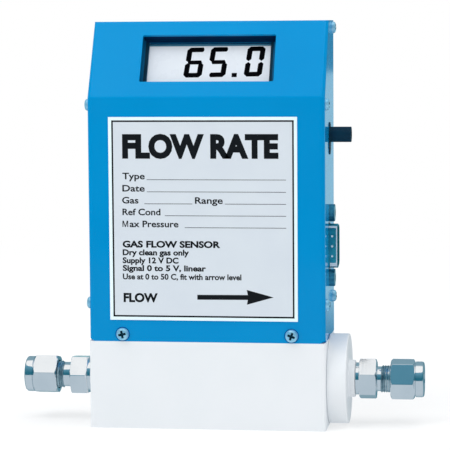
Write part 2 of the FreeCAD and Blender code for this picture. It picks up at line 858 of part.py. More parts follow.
def ferrules(side, face):
    nose = "(" + fitting_end + " - ferrule_nose)"
    land = "(" + fitting_end + " + ferrule_land)"
    taper = "(cone_mouth - tube_radius - tube_gap)"
    front = new_body(side + "_front_ferrule")
    profile = sketch_on(front, "XZ_Plane")
    outline(profile, [
        (nose, tube_hole),
        (nose, "cone_mouth - ferrule_gap - " + taper + " * ferrule_nose / cone_length"),
        (fitting_end, "cone_mouth - ferrule_gap"),
        (land, "cone_mouth - ferrule_gap"),
        (land, tube_hole),
    ])
    turned(front, "Revolution", profile)
    lay_out(front, side, face)
    back = new_body(side + "_back_ferrule")
    profile = sketch_on(back, "XZ_Plane")
    outline(profile, [
        (land, tube_hole),
        (land, "back_ferrule_radius - ferrule_gap"),
        (land + " + back_ferrule_length", "back_ferrule_radius - ferrule_gap"),
        (land + " + back_ferrule_length", tube_hole),
    ])
    turned(back, "Revolution", profile)
    lay_out(back, side, face)


def lay_out(body, side, face):
    """Put a fitting's piece on its port: the inlet points to the left."""
    if side == "inlet":
        body.Placement = Placement(Vector(0, 0, 0), Rotation(Vector(0, 0, 1), 180))
        place(body, across="0 - " + face, up="axis_height")
    else:
        place(body, across=face, up="axis_height")


# Folded sheet housing

def on_slope(body, role="XY_Plane"):
    """A sketch on the tilted face, its X along the object's X and its Y up the slope."""
    sketch = sketch_on(body, role)
    sketch.AttachmentOffset = Placement(Vector(0, 0, 0), Rotation(Vector(1, 0, 0), 60))
    sketch.setExpression("AttachmentOffset.Rotation.Angle", bound("90 - slope_angle"))
    sketch.setExpression("AttachmentOffset.Base.y", bound("0 - " + half_depth))
    sketch.setExpression("AttachmentOffset.Base.z", bound(fold))
    return sketch


def connector_outline(sketch, length, width):
    """The D shape, its long axis upright and its wide side to the front."""
    front = "(connector_shift - (" + width + ") / 2)"
    back = "(connector_shift + (" + width + ") / 2)"
    wide = "((" + length + ") / 2)"
    narrow = "((" + length + ") / 2 - (" + width + ") * tan(shell_slant))"
    outline(sketch, [
        (front, "connector_height - " + wide),
        (back, "connector_height - " + narrow),
        (back, "connector_height + " + narrow),
        (front, "connector_height + " + wide),
    ])


def side_openings(body, outer, depth):
    """Cut the connector, jack nut and jack openings in a right-hand wall, and the screw holes in both walls."""
    shape = sketch_on(body, "YZ_Plane", outer)
    connector_outline(shape, "shell_length + 2 * cutout_gap", "shell_width + 2 * cutout_gap")
    pocket(body, shape, depth)
    round_holes = sketch_on(body, "YZ_Plane", outer)
    for hand in ("- ", "+ "):
        circle(round_holes, "connector_shift", "connector_height " + hand + "connector_screw_spacing / 2",
               "jack_thread_radius + stem_gap")
    circle(round_holes, "connector_shift", jack_height, "jack_barrel_radius + jack_gap")
    pocket(body, round_holes, depth)


def screw_holes(body, radius):
    holes = sketch_on(body, "YZ_Plane")
    near = "side_screw_front - " + half_depth
    far = half_depth + " - side_screw_back"
    for deep, up in ((near, side_low), (near, side_mid), (far, side_low), (far, side_high)):
        circle(holes, deep, up, radius)
    pocket(body, holes, "housing_width + 2", side="Symmetric")


def front_cover():
    body = new_body("front_cover")
    outside = sketch_on(body, "YZ_Plane")
    outline(outside, [
        ("0 - " + half_depth, "body_height"),
        ("0 - " + half_depth, fold),
        (slope_back, "top_height"),
        (half_depth, "top_height"),
        (half_depth, "body_height"),
    ])
    pad(body, outside, "housing_width", side="Symmetric")
    inside = sketch_on(body, "YZ_Plane")
    outline(inside, [
        ("sheet - " + half_depth, "body_height - 1"),
        ("sheet - " + half_depth, fold + " - sheet * tan(slope_angle / 2)"),
        (slope_back + " + sheet * tan(45 - slope_angle / 2)", "top_height - sheet"),
        (half_depth + " + 1", "top_height - sheet"),
        (half_depth + " + 1", "body_height - 1"),
    ])
    pocket(body, inside, "housing_width - 2 * sheet", side="Symmetric")
    wall = size("sheet")
    back = size("housing_depth") / 2
    round_edges(body, "bend_radius - sheet",
                lambda middle, run: abs(run.z) > 0.9 and abs(middle.y + back - wall) < 0.01)
    tilt = math.radians(size("slope_angle"))
    normal = Vector(0, -math.cos(tilt), math.sin(tilt))

    window = on_slope(body)
    rectangle(window, "0 - window_width / 2", "window_width / 2", window_low, window_high)
    pocket(body, window, "3 * sheet")
    round_edges(body, "window_corner", lambda middle, run: abs(run.dot(normal)) > 0.99)
    low = size("body_height")
    side = size("housing_width") / 2
    crease = evaluate(fold)
    top = size("top_height")
    round_edges(body, "bend_radius", lambda middle, run: middle.z > low + 0.01 and middle.y < back - 0.01 and (
        (abs(abs(middle.x) - side) < 0.01 and middle.z < top - 0.01)
        or (abs(run.x) > 0.9 and abs(middle.x) < 1 and (
            (abs(middle.z - crease) < 0.01 and abs(middle.y + back) < 0.01) or abs(middle.z - top) < 0.01))))
    holes = sketch_on(body, "XZ_Plane", half_depth)
    for hand in ("0 - ", ""):
        circle(holes, hand + "cover_screw_spacing / 2", "body_height + cover_screw_rise",
               "cover_screw_radius + screw_gap")
    pocket(body, holes, "2 * sheet")
    clips = sketch_on(body, "XZ_Plane", half_depth)
    near, far = "(housing_width / 2 - clip_width)", "(housing_width / 2 + clip_width)"
    outline(clips, [(near, "body_height"), (far, "body_height"), (far, "body_height + 2 * clip_height")])
    outline(clips, [("0 - " + far, "body_height + 2 * clip_height"), ("0 - " + far, "body_height"),
                    ("0 - " + near, "body_height")])
    pocket(body, clips, "bend_radius + sheet")
    screw_holes(body, "side_screw_radius + screw_gap")
    side_openings(body, half_width, "sheet + slide_gap / 2")


def rear_chassis():
    body = new_body("rear_chassis")
    wide = chassis_half
    inner = "(" + chassis_half + " - sheet)"
    edge = "(sheet + front_gap - " + half_depth + ")"
    wrap = sketch_on(body, "XY_Plane", "body_height")
    outline(wrap, [
        ("0 - " + wide, edge),
        ("0 - " + wide, half_depth),
        (wide, half_depth),
        (wide, edge),
        (inner, edge),
        (inner, half_depth + " - sheet"),
        ("0 - " + inner, half_depth + " - sheet"),
        ("0 - " + inner, edge),
    ])
    pad(body, wrap, "top_height - sheet - slide_gap - body_height")
    back = size("housing_depth") / 2
    wall = size("sheet")
    round_edges(body, "bend_radius", lambda middle, run: abs(run.z) > 0.9 and abs(middle.y - back) < 0.01)
    round_edges(body, "bend_radius - sheet",
                lambda middle, run: abs(run.z) > 0.9 and abs(middle.y - back + wall) < 0.01)
    wedge = sketch_on(body, "YZ_Plane")
    inset = "(sheet + slide_gap)"
    outline(wedge, [
        ("0 - " + half_depth, fold + " - " + inset + " / sin(slope_angle)"),
        (slope_back + " + " + inset + " / cos(slope_angle)", "top_height"),
        ("0 - " + half_depth, "top_height"),
    ])
    pocket(body, wedge, "housing_width + 2", side="Symmetric")
    holes = sketch_on(body, "XZ_Plane", "0 - " + half_depth)
    for hand in ("0 - ", ""):
        circle(holes, hand + "cover_screw_spacing / 2", "body_height + cover_screw_rise",
               "cover_screw_radius + screw_gap")
    pocket(body, holes, "2 * sheet", backwards=True)
    screw_holes(body, "side_screw_radius + thread_gap")
    side_openings(body, chassis_half, "sheet + slide_gap")


def front_label():
    body = new_body("front_label")
    place(body, across="label_shift", deep="0 - " + half_depth, up="body_height + label_rise")
    plate = sketch_on(body, "XZ_Plane")
    rectangle(plate, "0 - label_width / 2", "label_width / 2", "0", "label_height")
    pad(body, plate, "label_thickness")


# Display, drawn flat and laid behind the tilted face

def on_tilt(item):
    item.Placement = Placement(Vector(0, 0, 0), Rotation(Vector(1, 0, 0), 60))
    item.setExpression("Placement.Rotation.Angle", bound("90 - slope_angle"))
    place(item, deep="0 - " + half_depth, up=fold)


glass_face = "(0 - sheet - recess_depth - view_lip)"
frame_back = "(0 - sheet - frame_depth)"


def display_frame():
    body = new_body("display_frame")
    outside = sketch_on(body, "XY_Plane", "0 - sheet")
    rectangle(outside, "0 - " + frame_half, frame_half, window_middle + " - frame_height / 2",
              window_middle + " + frame_height / 2")
    pad(body, outside, "frame_depth", backwards=True)
    recess = sketch_on(body, "XY_Plane", "0 - sheet")
    rectangle(recess, "0 - window_width / 2 - recess_gap", "window_width / 2 + recess_gap",
              window_low + " - recess_gap", window_high + " + recess_gap")
    pocket(body, recess, "recess_depth")
    view = sketch_on(body, "XY_Plane", "0 - sheet")
    rectangle(view, "0 - view_width / 2", "view_width / 2", window_middle + " + view_rise - view_height / 2",
              window_middle + " + view_rise + view_height / 2")
    pocket(body, view, "frame_depth")
    seat = sketch_on(body, "XY_Plane", frame_back)
    rectangle(seat, "0 - glass_width / 2 - glass_gap", "glass_width / 2 + glass_gap",
              window_middle + " - glass_height / 2 - glass_gap", window_middle + " + glass_height / 2 + glass_gap")
    pocket(body, seat, "frame_depth - recess_depth - view_lip", backwards=True)
    holes = sketch_on(body, "XY_Plane", frame_back)
    for left in ("0 - ", ""):
        for low in (" - ", " + "):
            circle(holes, left + frame_screw, window_middle + low + "frame_height / 4",
                   "display_screw_radius + thread_gap")
    pocket(body, holes, "display_screw_length", backwards=True)
    on_tilt(body)


def display_glass():
    body = new_body("display_glass")
    pane = sketch_on(body, "XY_Plane", glass_face)
    rectangle(pane, "0 - glass_width / 2", "glass_width / 2", window_middle + " - glass_height / 2",
              window_middle + " + glass_height / 2")
    pad(body, pane, "glass_thickness", backwards=True)
    on_tilt(body)


def contact_strips():
    """Two elastomer strips that join the glass to its board."""
    body = new_body("contact_strips")
    body.AllowCompound = True
    bars = sketch_on(body, "XY_Plane", glass_face + " - glass_thickness")
    for low, high in ((" - glass_height / 2", " - glass_height / 2 + strip_width"),
                      (" + glass_height / 2 - strip_width", " + glass_height / 2")):
        rectangle(bars, "1 - glass_width / 2", "glass_width / 2 - 1", window_middle + low, window_middle + high)
    pad(body, bars, "frame_depth - recess_depth - view_lip - glass_thickness", backwards=True)
    on_tilt(body)


def display_board():
    body = new_body("display_board")
    board = sketch_on(body, "XY_Plane", frame_back)
    rectangle(board, "0 - " + frame_half, frame_half, window_middle + " - frame_height / 2",
              window_middle + " + frame_height / 2")
    pad(body, board, "display_board_thickness", backwards=True)
    holes = sketch_on(body, "XY_Plane", frame_back)
    for left in ("0 - ", ""):
        for low in (" - ", " + "):
            circle(holes, left + frame_screw, window_middle + low + "frame_height / 4",
                   "display_screw_radius + screw_gap")
    pocket(body, holes, "display_board_thickness")
    on_tilt(body)


def display_screws():
    screw = pan_screw("display_screw", "display_screw_head", "display_screw_head_height", "display_screw_radius",
                      "display_screw_length + display_board_thickness - screw_gap")
    tilt = size("slope_angle")
    lay = Placement(Vector(0, -size("housing_depth") / 2, evaluate(fold)),
                    Rotation(Vector(1, 0, 0), 90 - tilt))
    back = evaluate("sheet + frame_depth + display_board_thickness")
    middle = evaluate(window_middle)
    across = evaluate(frame_screw)
    rise = evaluate("frame_height / 4")
    places = [lay.multiply(facing(Vector(0, 0, -1), Vector(left * across, middle + low * rise, -back)))
              for left in (-1, 1) for low in (-1, 1)]
    copies("display_screws", screw, places)


# Circuit board, upright behind the right wall

def main_board():
    body = new_body("main_board")
    board = sketch_on(body, "YZ_Plane", board_face)
    rectangle(board, "0 - board_depth / 2", "board_depth / 2", board_low, board_top)
    pad(body, board, "board_thickness", backwards=True)


def on_board(share):
    return f"({board_low} + {board_height} * {share})"


display_socket = ("board_depth * -0.1", "(" + fold + " - display_socket_drop)")
sensor_socket = ("board_depth * 0.33", on_board("0.42"))


def board_box(name, deep, up, wide, high, thick):
    """A block on the board's inner face, placed by its middle."""
    block = primitive("Box", name, Length=thick, Width=wide, Height=high)
    place(block, across=board_face + " - board_thickness - " + thick,
          deep=f"{deep} - {wide} / 2", up=f"{up} - {high} / 2")
    return block


def board_parts():
    chips = []
    for name, deep, up, wide, high in (("amplifier", "-0.27", "0.17", "chip_width", "chip_length"),
                                       ("converter", "0.1", "0.2", "chip_width", "chip_length"),
                                       ("controller", "-0.07", "0.47", "controller_side", "controller_side")):
        chips.append(board_box(name, "board_depth * " + deep, on_board(up), wide, high, "chip_height"))
    group("board_chips", chips)
    trimmers = []
    for name, deep in (("zero_trimmer", "-0.35"), ("span_trimmer", "-0.12")):
        trimmers.append(board_box(name, "board_depth * " + deep, on_board("0.72"), "trimmer_width",
                                  "trimmer_length", "trimmer_width"))
    group("board_trimmers", trimmers)
    cans = []
    for name, up in (("supply_can", "0.71"), ("output_can", "0.815")):
        can = primitive("Cylinder", name, Vector(-1, 0, 0), Radius="can_radius", Height="can_length")
        place(can, across=board_face + " - board_thickness", deep="board_depth * 0.3",
              up=on_board(up))
        cans.append(can)
    group("board_capacitors", cans)
    sockets = [
        board_box("display_socket", display_socket[0], display_socket[1], "header_length", "header_width",
                  "header_height"),
        board_box("sensor_socket", sensor_socket[0], sensor_socket[1], "header_width", "header_width",
                  "header_height"),
    ]
    group("board_sockets", sockets)


def display_header():
    body = new_body("display_header")
    block = sketch_on(body, "XY_Plane", frame_back + " - display_board_thickness")
    rectangle(block, header_shift + " - header_length / 2", header_shift + " + header_length / 2",
              window_low + " - header_width / 2", window_low + " + header_width / 2")
    pad(body, block, "header_height", backwards=True)
    on_tilt(body)


def cable(label, radius, points, bend):
    item = doc.addObject("Part::Feature", label)
    item.Label = label
    item.Shape = rod(points, bend, radius)
    sub_parts.append(item)


def socket_mouth(spot):
    """The middle of a socket's open face."""
    deep, up = spot
    return Vector(evaluate(board_face + " - board_thickness - header_height"),
                  evaluate(deep),
                  evaluate(up))


def cables():
    tilt = math.radians(size("slope_angle"))
    inward = Vector(0, math.cos(tilt), -math.sin(tilt))
    uphill = Vector(0, math.sin(tilt), math.cos(tilt))
    crease = Vector(0, -size("housing_depth") / 2, evaluate(fold))
    run = size("cable_run")
    bend = size("cable_bend")
    start = (crease + Vector(evaluate(header_shift), 0, 0) + uphill * evaluate(window_low)
             + inward * evaluate("sheet + frame_depth + display_board_thickness + header_height"))
    finish = socket_mouth(display_socket)
    cable("display_cable", size("cable_radius"),
          [start, start + inward * run, finish - Vector(run, 0, 0), finish], bend)
    start = Vector(size("sensor_cover_length") / 2, 0, evaluate(sensor_top) + size("sensor_cover_height") / 2)
    finish = socket_mouth(sensor_socket)
    cable("sensor_cable", size("sensor_cable_radius"),
          [start, start + Vector(run, 0, 0) * 0.7, finish - Vector(run, 0, 0) * 0.7, finish], size("cable_bend") * 0.6)


# Nine-pin connector through the right wall

def connector_shell():
    body = new_body("connector_shell")
    flange_face = panel_inside
    flange = sketch_on(body, "YZ_Plane", flange_face)
    rectangle(flange, "connector_shift - flange_width / 2", "connector_shift + flange_width / 2",
              "connector_height - flange_length / 2", "connector_height + flange_length / 2")
    pad(body, flange, "flange_thickness", backwards=True)
    round_edges(body, "1.2", lambda middle, run: abs(run.x) > 0.9)
    tube = sketch_on(body, "YZ_Plane", flange_face + " - flange_thickness / 2")
    connector_outline(tube, "shell_length", "shell_width")
    pad(body, tube, "shell_reach + flange_thickness / 2")
    inside = sketch_on(body, "YZ_Plane", shell_front)
    connector_outline(inside, "shell_length - 2 * shell_wall", "shell_width - 2 * shell_wall")
    pocket(body, inside, "shell_reach + 2 * flange_thickness")
    start = evaluate(flange_face)
    level = size("connector_height")
    shift = size("connector_shift")
    reach = size("flange_length") / 2 - 0.1
    inner_half = evaluate("shell_width / 2 - shell_wall")
    round_edges(body, "shell_corner - shell_wall", lambda middle, run: abs(run.x) > 0.9
                and abs(abs(middle.y - shift) - inner_half) < 0.05 and abs(middle.z - level) < reach)
    outer_half = size("shell_width") / 2
    round_edges(body, "shell_corner", lambda middle, run: abs(run.x) > 0.9 and middle.x > start
                and abs(abs(middle.y - shift) - outer_half) < 0.05)
    holes = sketch_on(body, "YZ_Plane", flange_face)
    for hand in ("- ", "+ "):
        circle(holes, "connector_shift", "connector_height " + hand + "connector_screw_spacing / 2",
               "jack_thread_radius + stem_gap")
    pocket(body, holes, "flange_thickness")
    dimples = sketch_on(body, "XZ_Plane", "shell_width / 2 - connector_shift - shell_wall / 2")
    for offset in ("- dimple_pitch", "", "+ dimple_pitch"):
        circle(dimples, panel_inside + " + dimple_reach", "connector_height " + offset, "dimple_radius")
    pocket(body, dimples, "shell_wall", backwards=True)


def pin_places():
    """The pin centres: five in the front row and four in the back row."""
    pitch = "pin_pitch"
    rows = []
    for count, row in ((5, "connector_shift - pin_row / 2"), (4, "connector_shift + pin_row / 2")):
        for k in range(count):
            rows.append((row, f"connector_height + ({k} - {count - 1} / 2) * {pitch}"))
    return rows


def connector_insulator():
    body = new_body("connector_insulator")
    flange_back = "(" + panel_inside + " - flange_thickness)"
    block = sketch_on(body, "YZ_Plane", flange_back)
    rectangle(block, "connector_shift - insulator_width / 2", "connector_shift + insulator_width / 2",
              "connector_height - insulator_length / 2", "connector_height + insulator_length / 2")
    pad(body, block, "insulator_back", backwards=True)
    nose = sketch_on(body, "YZ_Plane", flange_back)
    connector_outline(nose, "shell_length - 2 * shell_wall - 2 * insulator_gap",
                      "shell_width - 2 * shell_wall - 2 * insulator_gap")
    pad(body, nose, "insulator_front")
    start = evaluate(flange_back)
    round_edges(body, "shell_corner - shell_wall - insulator_gap",
                lambda middle, run: abs(run.x) > 0.9 and middle.x > start)
    holes = sketch_on(body, "YZ_Plane", flange_back + " + insulator_front")
    for deep, up in pin_places():
        circle(holes, deep, up, "pin_radius + pin_gap")
    pocket(body, holes, "insulator_front + insulator_back")


def connector_pins():
    body = new_body("connector_pins")
    body.AllowCompound = True
    pins = sketch_on(body, "YZ_Plane", board_face)
    for deep, up in pin_places():
        circle(pins, deep, up, "pin_radius")
    pad(body, pins, shell_front + " - pin_recess - " + board_face)


def jack_nut(body, hand):
    """A hexagon with a threaded mouth outside the wall, and its stem through the wall and the flange."""
    place(body, across=half_width, deep="connector_shift", up="connector_height " + hand + "connector_screw_spacing / 2")
    hexagon(body, "0", "jack_nut_height", "jack_nut_flats", "0")
    hex_bevel(body, None, "jack_nut_height", "jack_nut_flats")
    stem = sketch_on(body, "YZ_Plane")
    circle(stem, "0", "0", "jack_thread_radius")
    pad(body, stem, "jack_stem_length", backwards=True)
    mouth = sketch_on(body, "YZ_Plane", "jack_nut_height")
    circle(mouth, "0", "0", "jack_thread_radius")
    pocket(body, mouth, "jack_thread_depth")


def connector_nuts():
    for label, hand in (("lower_jack_nut", "- "), ("upper_jack_nut", "+ ")):
        jack_nut(new_body(label), hand)


# Power jack

def power_jack():
    body = new_body("power_jack")
    place(body, deep="connector_shift", up=jack_height)
    block = sketch_on(body, "YZ_Plane", board_face)
    rectangle(block, "0 - jack_block_width / 2", "jack_block_width / 2", "0 - jack_block_height / 2",
              "jack_block_height / 2")
    pad(body, block, "board_distance")
    barrel = sketch_on(body, "YZ_Plane", panel_inside)
    circle(barrel, "0", "0", "jack_barrel_radius")
    barrel_length = "(jack_barrel_reach + 2 * sheet + slide_gap)"
    pad(body, barrel, barrel_length)
    bore = sketch_on(body, "YZ_Plane", panel_inside + " + " + barrel_length)
    circle(bore, "0", "0", "jack_bore_radius")
    pocket(body, bore, "jack_bore_depth")


def jack_pin():
    body = new_body("jack_pin")
    place(body, deep="connector_shift", up=jack_height)
    tip = half_width + " + jack_barrel_reach"
    pin = sketch_on(body, "YZ_Plane", tip + " - jack_bore_depth")
    circle(pin, "0", "0", "jack_pin_radius")
    pad(body, pin, "jack_bore_depth - jack_pin_recess")


def jack_ring():
    body = new_body("jack_ring")
    place(body, deep="connector_shift", up=jack_height)
    ring = sketch_on(body, "YZ_Plane", half_width)
    circle(ring, "0", "0 - jack_ring_drop", "jack_ring_radius")
    circle(ring, "0", "0", "jack_barrel_radius + jack_gap")
    pad(body, ring, "jack_ring_thickness")


flow_body()
flow_cap()
seal("cap_seal", body_half + " - cap_ring_inset")
seal("element_seal", "0")
inlet_screen()
laminar_element()
sensor_base()
sensor_seals()
sensor_tube()
sensor_windings()
sensor_cover()
screws()
for side, face, body_turn, nut_turn in (("inlet", inlet_face, "inlet_body_turn", "inlet_nut_turn"),
                                        ("outlet", cap_face, "outlet_body_turn", "outlet_nut_turn")):
    fitting_body(side, face, body_turn)
    fitting_nut(side, face, nut_turn)
    ferrules(side, face)
front_cover()
rear_chassis()
front_label()
display_frame()
display_glass()
contact_strips()
display_board()
display_header()
display_screws()
main_board()
board_parts()
cables()
connector_shell()
connector_insulator()
connector_pins()
connector_nuts()
power_jack()
jack_pin()
jack_ring()

# Checks, then one file for each sub-part
doc.removeObject(probe.Name)
doc.recompute()
for item in doc.Objects:
    if "Invalid" in item.State or "Error" in item.State:
        raise RuntimeError(item.Label + " failed to build")
for item in sub_parts:
    if item.Shape.isNull() or not item.Shape.isValid():
        raise RuntimeError(item.Label + " has no valid shape")

os.makedirs("parts", exist_ok=True)
for item in sub_parts:
    item.Shape.exportStep(f"parts/{item.Label}.step")
    print(f"{item.Label:24s} solids {len(item.Shape.Solids):2d}  volume {item.Shape.Volume:10.1f}")
print(len(sub_parts), "sub-parts")
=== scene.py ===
import json
import math

import bmesh
import bpy
from mathutils import Matrix, Vector


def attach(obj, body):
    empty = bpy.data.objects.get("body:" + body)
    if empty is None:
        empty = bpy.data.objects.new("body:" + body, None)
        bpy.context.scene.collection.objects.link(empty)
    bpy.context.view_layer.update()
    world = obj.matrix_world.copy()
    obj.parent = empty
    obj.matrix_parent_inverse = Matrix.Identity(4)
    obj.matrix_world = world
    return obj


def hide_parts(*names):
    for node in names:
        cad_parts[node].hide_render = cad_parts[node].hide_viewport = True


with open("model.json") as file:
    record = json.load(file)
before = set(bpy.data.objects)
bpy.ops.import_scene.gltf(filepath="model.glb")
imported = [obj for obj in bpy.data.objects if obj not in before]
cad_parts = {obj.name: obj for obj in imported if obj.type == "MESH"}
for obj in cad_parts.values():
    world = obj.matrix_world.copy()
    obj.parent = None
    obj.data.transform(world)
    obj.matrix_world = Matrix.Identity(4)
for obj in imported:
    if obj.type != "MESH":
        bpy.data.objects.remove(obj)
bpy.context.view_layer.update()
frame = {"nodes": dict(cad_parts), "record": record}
scene = bpy.context.scene
mm = 0.001


# small helpers

def linear(red, green, blue):
    def one(value):
        value = value / 255
        return value / 12.92 if value <= 0.04045 else ((value + 0.055) / 1.055) ** 2.4
    return (one(red), one(green), one(blue), 1.0)


def newObject(name, mesh):
    item = bpy.data.objects.new(name, mesh)
    scene.collection.objects.link(item)
    return item


def finishMesh(mesh, angle=32):
    # smooth faces, with edges kept crisp past the angle
    work = bmesh.new()
    work.from_mesh(mesh)
    for face in work.faces:
        face.smooth = True
    for edge in work.edges:
        edge.smooth = len(edge.link_faces) == 2 and edge.calc_face_angle() < math.radians(angle)
    work.to_mesh(mesh)
    work.free()


def register(item, slotName, *nodeNames):
    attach(item, "root")
    if nodeNames:
        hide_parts(*nodeNames)
    return item


def meshOf(item):
    # the evaluated object as a plain mesh of its own
    bpy.context.view_layer.update()
    graph = bpy.context.evaluated_depsgraph_get()
    return bpy.data.meshes.new_from_object(item.evaluated_get(graph))


def meshFrom(work, name, *materials):
    # the finished points and faces as a named mesh
    mesh = bpy.data.meshes.new(name)
    work.to_mesh(mesh)
    work.free()
    for material in materials:
        mesh.materials.append(material)
    return mesh


def uprightPlace(depth):
    # x stays, up is z, and heights go towards the viewer from this depth
    return Matrix(((1, 0, 0, 0), (0, 0, -1, depth * mm), (0, 1, 0, 0), (0, 0, 0, 1)))


# finishes

def addNode(tree, kind, **values):
    node = tree.nodes.new(kind)
    for key, value in values.items():
        setattr(node, key, value)
    return node


def noise(tree, place, scale, detail=3.0, stretch=None):
    cloud = addNode(tree, "ShaderNodeTexNoise")
    cloud.inputs["Scale"].default_value = scale
    cloud.inputs["Detail"].default_value = detail
    if stretch:
        turn = addNode(tree, "ShaderNodeMapping")
        turn.inputs["Scale"].default_value = stretch
        tree.links.new(place.outputs["Object"], turn.inputs["Vector"])
        tree.links.new(turn.outputs["Vector"], cloud.inputs["Vector"])
    else:
        tree.links.new(place.outputs["Object"], cloud.inputs["Vector"])
    return cloud


def makeFinish(name, colour, darker=None, patch=60.0, rough=(0.3, 0.4), metal=0.0,
               grain=900.0, depth=0.000004, stretch=None, **sockets):
    material = bpy.data.materials.new(name)
    material.use_nodes = True
    tree = material.node_tree
    link = tree.links.new
    shader = tree.nodes["Principled BSDF"]
    place = addNode(tree, "ShaderNodeTexCoord")
    darker = darker or tuple(value * 0.93 for value in colour[:3]) + (1.0,)
    cloud = noise(tree, place, patch, 4.0)
    ramp = addNode(tree, "ShaderNodeValToRGB")
    ramp.color_ramp.elements[0].position = 0.35
    ramp.color_ramp.elements[0].color = darker
    ramp.color_ramp.elements[1].position = 0.65
    ramp.color_ramp.elements[1].color = colour
    link(cloud.outputs["Fac"], ramp.inputs["Fac"])
    link(ramp.outputs["Color"], shader.inputs["Base Color"])
    wear = noise(tree, place, patch * 3.1, 5.0, stretch)
    span = addNode(tree, "ShaderNodeMapRange")
    span.inputs["From Min"].default_value = 0.3
    span.inputs["From Max"].default_value = 0.7
    span.inputs["To Min"].default_value = rough[0]
    span.inputs["To Max"].default_value = rough[1]
    link(wear.outputs["Fac"], span.inputs["Value"])
    link(span.outputs["Result"], shader.inputs["Roughness"])
    skin = noise(tree, place, grain, 3.0, stretch)
    bump = addNode(tree, "ShaderNodeBump")
    bump.inputs["Strength"].default_value = 0.6
    bump.inputs["Distance"].default_value = depth
    link(skin.outputs["Fac"], bump.inputs["Height"])
    link(bump.outputs["Normal"], shader.inputs["Normal"])
    shader.inputs["Metallic"].default_value = metal
    for key, value in sockets.items():
        shader.inputs[key.replace("_", " ")].default_value = value
    return material


